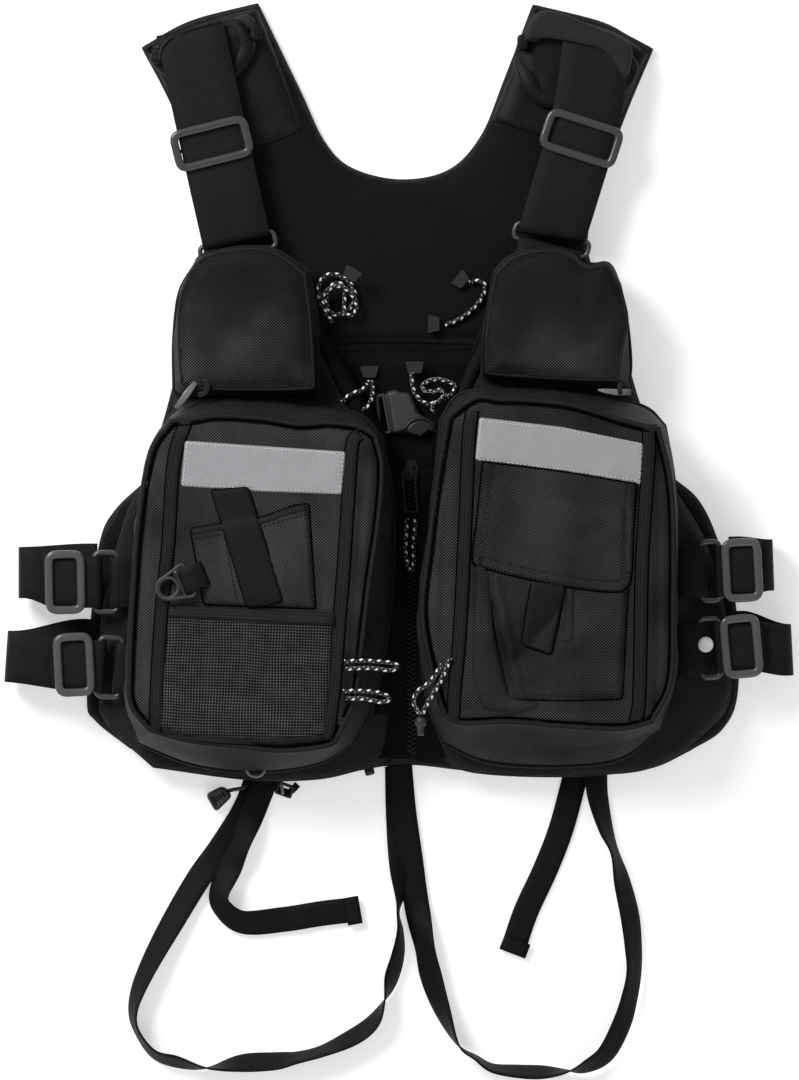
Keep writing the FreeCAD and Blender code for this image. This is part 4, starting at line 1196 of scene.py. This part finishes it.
cloth = cushion("flap_pocket_cloth", pocket_ring, flap_pocket_height, lambda x, y, d: face_r(x, y) - 0.5,
                POCKET, 2.4)
sewn(cloth, "main_lid_right", stands=["flap_pocket"])
rows = [stitches(line, on_pocket, 0.3, 0.5)
        for line in ([(79, -214), (120, -215.5), (160, -214.5)], [(66, -80), (68, -140), (76, -205)],
                     [(161, -90), (163, -142), (159, -205)])]
sewn(joined("flap_pocket_stitches", rows), "main_lid_right")
shade_outline("flap_pocket_edge", pocket_ring, face_r, "main_lid_right", 0.6, 0.7)
BELLOWS = [(55, -118), (66, -122), (69, -168), (80, -216), (104, -221), (84, -229), (60, -225), (53, -200)]
sewn(patch("flap_pocket_bellows", rounded_ring(BELLOWS, 4.0), face_r, POCKET, lift=1.2, edge=3.0, step=2.2,
           extra=lambda x, y, d: (1.6 + 1.2 * crumple(x, y, 12, 111)) * dome(d, 5)), "main_lid_right")
HOOK_STRIP = [(122, -137), (127, -137), (126, -176), (118, -176)]
sewn(patch("hook_strip", rounded_ring(HOOK_STRIP, 1.0), on_pocket, HOOKS, 0.9, 1.0, 1.8), "main_lid_right")


def flap_height(x, y, d):
    waves = 0.7 * np.sin((x - 0.5 * y) / 13.0) * smooth((-70 - y) / 50)
    return on_pocket(x, y) + 1.4 + 0.9 * dome(d, 2.0) + 0.5 * crumple(x, y, 22, 105) + waves * dome(d, 12)


FLAP = [[(61, -46), (118, -53), (172, -62)], [(172, -62), (170, -90), (168.5, -126)],
        [(168.5, -126), (166, -135), (156, -139.5), (122, -136), (88, -129), (58, -121.5)],
        [(58, -121.5), (53.5, -116), (57, -84), (61, -46)]]
flap_ring = ring_of(FLAP, 2.0)
flap = cushion("pocket_flap_cloth", flap_ring, flap_height, lambda x, y, d: flap_height(x, y, d) - 1.8,
               POCKET, 2.4, turn=-0.12)
sewn(flap, "pocket_flap", stands=["pocket_flap"])
hem_line = np.vstack([spline(s, 2.0) for s in FLAP[1:]])
sewn(stitches(hem_line - normals_of(hem_line) * 7.4, at_depth(flap_height, 6), 0.3, 0.5,
              name="flap_stitches"), "pocket_flap")
shade_outline("flap_edge", flap_ring, at_depth(flap_height, 0, -1.2), "pocket_flap", 1.2, 0.8)
sewn(rim("flap_hem", hem_line,
         [(-0.8, -0.6), (-0.8, 0.8), (-1.6, 1.2), (-6.0, 1.3), (-6.6, 0.9), (-6.6, -0.6)],
         POCKET, around=False, lift=at_depth(flap_height, 0)), "pocket_flap")


def tab_height(x, y, d):
    """The pull tab comes from under the flap and lies on its pocket."""
    over = smooth((y + 140) / 8.0)
    return mix(on_pocket(x, y) + 2.2, flap_height(x, y, 2 + 0 * x) - 2.4, over) + 0.5 * dome(d, 1.5)


TAB = [(97, -128), (121, -132), (116, -158), (110, -185), (100, -182), (89, -178), (92, -155)]
ring = rounded_ring(TAB, 1.6)
tab = cushion("pull_tab_webbing", ring, tab_height, lambda x, y, d: tab_height(x, y, d) - 1.4, WEBBING, 2.2,
              turn=1.4)
sewn(tab, "pull_tab", ["pull_tab"])
shade_outline("pull_tab_edge", ring, at_depth(tab_height, 0, -1.0), "pull_tab", 0.8)

# ---------------------------------------------------------------- straps, their tabs, rings and slides
# x, y and direction of each side ring; distances from it of the root, the slide and the fold; how far
# the fold and the root of the under layer lie off the strap's line, upwards; lean of the slide
SIDES = {"left_upper": (-214.0, -133.0, 180.0, 13.0, 30.0, 64.0, 7.0, 9.5, 91.0),
         "left_lower": (-211.5, -195.0, 176.0, 19.5, 26.0, 76.0, 2.5, 15.0, 97.0),
         "right_upper": (227.0, -125.0, 2.0, 20.5, 23.0, 46.0, 3.0, 6.0, 91.0),
         "right_lower": (226.5, -181.0, 3.0, 24.5, 23.0, 60.0, -4.5, 7.0, 92.0)}
SIDE_RING_Z = 36.9
TAB_THICK = 1.3


def slide_frame(name, x, y, turn, wide, deep, ring_z, material):
    """A rounded frame over the strap, and its middle bar between the strap's layers."""
    w, z = wide / 2, ring_z + 5.5
    outline = rounded_ring(oblong(x, y, turn, w, deep / 2), 9.5, 1.2)
    end, dip = w - 2.3, w - 3.9
    bar = turned([(-end, 0, z), (-end, 0, ring_z + 1.6), (-dip, 0, ring_z), (dip, 0, ring_z),
                  (end, 0, ring_z + 1.6), (end, 0, z)], x, y, turn)
    small_part(name + "_frame", name, [rim("t", outline, soft_box(3.0, z, 3.0, 2.0, 18, 0.85), material),
                                       tube("t", bar, 1.4, material, 8)], [name])


def strap_ring(x, y, turn, wide, z, radius=1.8, half_h=6.0):
    """A rectangular ring of round bar with rounded corners."""
    return rim("t", rounded_ring(oblong(x, y, turn, wide / 2, half_h), 5.0, 1.0),
               circle_profile(0, z, radius, 12), GLOSSY)


rings = {side: [strap_ring(*spot, 55.8, RING_Z)] for side, spot in SHOULDER.items()}
for name, (x, y, turn, root, slide_at, fold_at, at_fold, at_root, _) in SIDES.items():
    side = name.split("_")[0]
    c, s = math.cos(math.radians(turn)), math.sin(math.radians(turn))

    def out(points):
        return turned([(a, 0, z) for a, z in points], x, y, turn)
    low, high = 34.1, 39.7
    # under layer, fold, upper layer down to the ring, turn round the ring, upper end
    path = [(root - 6, 6.6), (fold_at - 12, 6.4), (fold_at - 3, 8), (fold_at, 13), (fold_at - 0.5, 22),
            (fold_at - 1, 29), (fold_at - 6, low - 1), (fold_at - 14, low), (14, low), (8, low), (4.6, 34.6),
            (3.2, 37), (4.6, 39.4), (8, high), (slide_at, high + 0.2), (slide_at + 17, high - 0.2)]
    local = resample(np.array(path), 2.5)
    line = np.array(out(local))
    under = 1 - smooth((local[:, 1] - 9) / 20)
    off = mix(at_fold * smooth((local[:, 0] - slide_at - 6) / (fold_at - slide_at - 10)),
              mix(at_root, at_fold, smooth((local[:, 0] - root) / (fold_at - root))), under)
    line[:, :2] += off[:, None] * np.array([-s, c]) * (1 if c > 0 else -1)
    strap = ribbon("side_strap_" + name, line, 37.6, 1.5, WEBBING, across=(-s, c, 0), round_path=False)
    "front_" + side
    x * MM
    x * MM
    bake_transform(strap)
    travel(line)[-1] * MM
    if name == "left_upper":
        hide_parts("side_straps")
    tab_path = [(-17, 34.2), (-8, 34.2), (-4.6, 34.6), (-3.2, 37), (-4.6, 39.2), (-8, 39.6), (-17, 38.8),
                (-24, 36.0)]
    tab = ribbon("side_tab_" + name, out(tab_path), 37.0, TAB_THICK, WEBBING, across=(-s, c, 0))
    sewn(tab, "front_" + side)
    rings[side].append(strap_ring(x, y, turn + 90.0, 43.1, SIDE_RING_Z, 2.0, 8.5 if side == "left" else 7.0))

for side, (x, y, turn) in SHOULDER.items():
    path = [(0, -22, 30.6), (0, -12, 27.2), (0, -8, 26.2), (0, -4.6, 26.6), (0, -3.2, RING_Z),
            (0, -4.6, 31.4), (0, -9, 31.8), (0, -22, 33.0)]
    tab = ribbon("shoulder_tab_" + side, turned(path, x, y, turn), 46.0, TAB_THICK, WEBBING,
                 across=turned([(1, 0, 0)], 0, 0, turn)[0])
    sewn(tab, "front_" + side, ["front_%s_tabs" % side])
for side, spot in SHOULDER.items():
    sx, sy = plane([(0, 77.0)], *spot)[0]
    slide_frame("shoulder_buckle_" + side, sx + (-2.5 if side == "left" else 0.6), sy, spot[2] * 1.12,
                58.5, 31.5, RING_Z, GLOSSY)
for name, (x, y, turn, _, slide_at, *_, lean) in SIDES.items():
    slide_frame("side_buckle_" + name, *plane([(slide_at, 0)], x, y, turn)[0], turn + lean,
                46.6, 29.4, SIDE_RING_Z, POLISHED)

for side, (x, y) in {"left": (-105.0, -268.0), "right": (99.0, -257.0)}.items():
    rings[side].append(rim("t", arc(x, y, 7.0, 0, 350, 36), circle_profile(0, 34.6, 1.1, 8), METAL))
    small_part("front_%s_rings_looks" % side, "front_" + side, rings[side], ["front_%s_rings" % side])
sewn(cushion("white_stud", arc(223.4, -178.5, 5.7, 0, 348, 30), lambda x, y, d: 41.0 + dome(d, 2.0), 40.6,
             WHITE, 1.4),
     "front_right")

# ---------------------------------------------------------------- front zip
ZIP_X, ZIP_Z, TEETH = 8.8, 25.3, 61
for side, sign in (("left", -1), ("right", 1)):
    at = ZIP_X + sign * 13.5
    tape = ribbon("t", [(at, -50, ZIP_Z), (at, -262, ZIP_Z)], 21.0, 1.1, DARK_CLOTH)
    first = -52 - (1.7 if sign > 0 else 0)
    places = [(ZIP_X + sign * (1.6 + 0.2 * (k % 2)), first - k * 3.4, ZIP_Z, 0.35 * sign)
              for k in range(TEETH)]
    sewn(joined("main_zip_%s_looks" % side, [tape, beads("t", places, (4.6, 1.5, 2.4), THREAD)]),
         "front_" + side, ["main_zip_" + side])

# ---------------------------------------------------------------- cords in place
pull_cord("b", CORD_B, "front_right")
pull_cord("c", CORD_C, "front_left")
pull_cord("e", CORD_E, "main_slider")
pull_cord("f_upper", CORD_F1, "main_lid_left")
pull_cord("f_lower", CORD_F2, "main_lid_left", stands=False)
pull_cord("g", CORD_G, "main_lid_right")
pull_cord("a", CORD_A, "front_left")
pull_cord("d", CORD_D, "front_right")

# ---------------------------------------------------------------- leg loops
# Each point is (x, y, roll in degrees): the webbing lies flat at 0 and stands on edge at 90.
LEG_L = [(-102, -270, 0), (-113, -299, 0), (-131, -328, 0), (-147, -350, 14), (-165, -380, 24),
         (-181, -409, 42), (-191, -431, 56), (-195, -448, 71), (-192, -462, 79), (-180, -478, 72),
         (-163, -484, 63), (-140.6, -488.5, 89), (-114, -485, 132), (-90, -483.5, 131), (-75, -481, 115),
         (-56, -476, 114), (-34, -466, 129), (-19.5, -455, 122), (-11.2, -440, 92), (-6, -423, 58),
         (-1.2, -406, 61), (0.5, -389, 77), (-1, -376, 87), (0, -365, 74), (1, -345, 30), (0, -320, 4),
         (-1, -297, 0), (-1.5, -268, 0)]
LEG_R = [(0, -266, 0), (3, -300, 0), (8, -336, 0), (12.2, -367, 0), (18.3, -399, 38), (23, -421, 30),
         (31, -445, 50), (43, -471.5, 87), (56, -481, 98), (68, -488.5, 107), (87.6, -491, 118),
         (104.6, -491.5, 118), (121, -491, 96), (136, -487.5, 62), (151, -478, 45), (162, -457.5, 42),
         (168, -438, 50), (171.5, -418.5, 55), (171, -399, 48), (168.5, -377, 42), (163, -353, 50),
         (157.5, -331, 72), (151, -314, 57), (145, -289.5, 35), (143.5, -268, 22)]
TAIL_L = [(-95, -270, 0), (-106, -298, 0), (-116, -323, 34), (-124, -342, 20), (-132, -361, 38),
          (-129, -372, 40), (-114, -382, 22), (-85, -380, 0), (-56, -375.5, 0), (-30, -372.5, 0)]
TAIL_R = [(130.5, -268, 0), (119, -311.5, 0), (107, -343, 0), (92.5, -374.5, 0), (82.5, -404, 0)]
HEM = (0, -281)
LEG_WIDE, EDGE_RISE = 18.4, 9.3


def leg_strap(name, points, base, stands, both_ends=False):
    """Webbing on the table, its edges raised where it rolls, sewn under the hem at one or both ends."""
    line = spline(points, 2.6)
    roll = line[:, 2]
    tuck = smooth((HEM[1] + 8 - line[:, 1]) / -16.0)
    under = (np.arange(len(line)) < len(line) / 2) | both_ends
    high = base + EDGE_RISE * np.abs(np.sin(np.radians(roll))) + np.where(under, tuck, 0)
    line = np.c_[line[:, :2], high]
    obj = ribbon(name, line, LEG_WIDE, 1.4, LEG_WEB, round_path=False, roll=roll)
    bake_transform(obj)
    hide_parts(*stands)
    travel(line)[-1] * MM


leg_strap("leg_loop_left", LEG_L, 1.2, ["leg_strap_left", "leg_strap_anchors"], True)
leg_strap("leg_loop_right", LEG_R, 3.2, ["leg_strap_right", "crotch_strap"], True)
leg_strap("leg_tail_left_webbing", TAIL_L, 3.4, ["leg_tail_left"])
leg_strap("leg_tail_right_webbing", TAIL_R, 1.2, ["leg_tail_right"])
for side, x, y, z, turn in (("left", -34, -373.5, 5.4, 10), ("right", 84.5, -400, 3.2, 69)):
    tip = ribbon("tail_tip_" + side, turned([(-5.5, 0, z), (5.5, 0, z)], x, y, turn), 20.4, 2.2, LEG_WEB)
    sewn(tip, "leg_straps")

# ---------------------------------------------------------------- small hard parts with rounded edges
# accessory ring: an outer rim, a round eye and a cross bar
EYE_Z = 85.1
outer = plane([*arc(0, 0, 9.6, 90, 270), (13.6, -13.4), (17.6, -12.6), (17.6, 12.6), (13.6, 13.4)], *RING_AT)
eye = np.array(plane(arc(0, 0, 8.6, 0, 352, 40), *RING_AT))
small_part("accessory_ring_looks", "accessory_ring",
           [rim("t", rounded_ring(outer, 2.0, 1.0), soft_box(1.2, EYE_Z, 1.2, 1.7, 12), MATT_PLASTIC),
            rim("t", eye, soft_box(1.3, EYE_Z, 1.3, 1.5, 12), MATT_PLASTIC),
            ribbon("t", turned([(9.2, -10.4, EYE_Z), (9.2, 10.4, EYE_Z)], *RING_AT), 2.4, 2.8, GREY_PLASTIC)],
           ["accessory_ring"])

# chest buckle: ladder end held by the left panel, body with a round thumb recess that slides off it
LADDER = [(-17.6, 3.9), (-11.0, 5.4), (-5.6, -24.1), (-15.2, -26.0)]
small_part("buckle_plug_looks", "front_left",
           [rim("t", rounded_ring(LADDER, 1.4, 1.0), soft_box(1.25, 20.4, 1.25, 2.6, 12), MATT_PLASTIC),
            ribbon("t", [(-10.4, 4.4, 20.2), (-6.0, -22.8, 20.2)], 2.6, 3.6, MATT_PLASTIC)], ["buckle_plug"])
SHELL = [(-10.0, 6.0), (-2.2, 7.9), (0.4, 6.1), (8.2, 5.3), (14.4, -10.0), (20.0, -13.0), (23.0, -22.0),
         (16.0, -27.0), (3.7, -22.6), (-4.6, -24.6)]
THUMB = (15.5, -25.5)


def shell_height(x, y, d):
    return 22.4 + 2.8 * dome(d, 2.2) - 2.2 * smooth((12.6 - np.hypot(x - THUMB[0], y - THUMB[1])) / 2.0)


recess_ring = rounded_ring([*arc(*THUMB, 11.6, 8, 176, 20), (4.6, -23.2), (16.0, -26.4), (22.4, -22.0)],
                           0.8, 1.2)
small_part("buckle_socket_looks", "buckle_socket",
           [cushion("t", rounded_ring(SHELL, 2.2, 1.2), shell_height,
                    lambda x, y, d: 16.2 - 0.6 * dome(d, 2.0),
                    MATT_PLASTIC, 1.6),
            cushion("t", recess_ring, lambda x, y, d: 23.3 + 0.4 * dome(d, 1.5), 17.5, PLASTIC, 1.8),
            tube("t", [(x, y, 24.6) for x, y in arc(*THUMB, 12.2, 30, 160, 18)], 0.8, GREY_PLASTIC, 8)],
           ["buckle_socket"])

# zip pulls of the chest pockets: a metal plate on a cloth loop
PULLS = {"left": ([(-148.6, 12.8, 59.8), (-155.0, 4.0, 60.2), (-162.4, -6.4, 59.2)], [3.4, 5.2, 3.6],
                  [(-151.0, 14.0, 58.5), (-147.0, 16.6, 61.0), (-141.5, 14.6, 62.0), (-139.6, 9.4, 61.6),
                   (-141.6, 4.4, 60.0), (-146.4, 3.4, 58.4)], 4.0, 1.4),
         "right": ([(144.5, 7.2, 58.6), (150.0, 6.3, 58.8), (158.0, 5.4, 58.8), (168.6, 5.5, 58.4)],
                   [1.2, 3.4, 4.6, 4.8],
                   [(161.0, 12.0, 57.4), (160.0, 8.6, 59.6), (160.5, 5.6, 60.0), (161.6, 2.6, 58.0)], 3.2,
                   1.0)}
for side, (plate, widths, loop, loop_wide, loop_thick) in PULLS.items():
    name = "chest_slider_" + side
    small_part(name + "_looks", name, [ribbon("t", plate, widths, 1.3, METAL, round_path=False),
                                       ribbon("t", loop, loop_wide, loop_thick, BAND_CLOTH)], [name])

# hem: ribbed rubber pull on a loop, ladder buckle with a bright bar, a stitched cord end
PULL_RING = [(-142.2, -288.2), (-129.0, -281.6), (-121.8, -289.4), (-134.6, -301.8)]
hem_parts = [
    cushion("t", rounded_ring(PULL_RING, 4.0, 1.0),
            lambda x, y, d: 4.0 + 3.0 * dome(d, 2.0) - 1.8 * smooth((d - 2.6) / 1.2), 0.6, GREY_PLASTIC, 1.4),
    tube("t", [(-126.5, -286.0, 4.0), (-121.0, -284.8, 4.2), (-115.0, -284.0, 3.4), (-110.0, -280.5, 3.2)],
         1.5,
         PLASTIC),
    rim("t", rounded_ring(oblong(-84, -285, -20, 6.5, 5), 1.6, 1.0), soft_box(1.2, 3.8, 1.2, 2.6, 12),
        GREY_PLASTIC),
    ribbon("t", [(-86.4, -279.0, 6.2), (-85.4, -288.6, 6.2)], 2.2, 1.2, METAL),
    ribbon("t", [(-93.0, -279.5, 3.4), (-88.0, -285.5, 3.6), (-80.0, -287.0, 3.6), (-74.5, -281.0, 3.2)], 5.0,
           1.6,
           WEBBING),
    cushion("t", rounded_ring(oblong(-22, -271.5, 15, 3.5, 3), 1.4, 1.0),
            lambda x, y, d: 3.6 + 1.2 * dome(d, 1.5),
            0.6, GREY_PLASTIC, 1.4)]
for k in range(4):
    rib = [(-136.4 + 2.3 * k, -288.0 + 1.0 * k, 5.8), (-131.4 + 2.1 * k, -295.0 + 1.4 * k, 5.8)]
    hem_parts.append(ribbon("t", rib, 1.3, 1.6, GREY_PLASTIC))
small_part("hem_fittings_looks", "back_panel", hem_parts, ["hem_fittings"])

# toggle on the lower right cord
SHAFT = [(12.6, -236), (18.2, -236), (17.8, -244.6), (12.8, -244.6)]
small_part("cord_toggle", "main_lid_right",
           [cushion("t", arc(15.4, -234.6, 4.4, 0, 345, 24), lambda x, y, d: 74.0 + 3.6 * dome(d, 3.0), 72.0,
                    MATT_PLASTIC, 1.4),
            cushion("t", rounded_ring(SHAFT, 1.2, 1.0), lambda x, y, d: 73.6 + 3.0 * dome(d, 2.0), 72.0,
                    MATT_PLASTIC, 1.4)], ["cord_end_g"])

# ---------------------------------------------------------------- packed hard parts that show as they are
for name, material in (("main_slider", THREAD), ("cord_grips_left", GREY_PLASTIC),
                       ("cord_grips_right", GREY_PLASTIC)):
    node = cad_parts[name]
    node.data.materials.clear()
    node.data.materials.append(material)

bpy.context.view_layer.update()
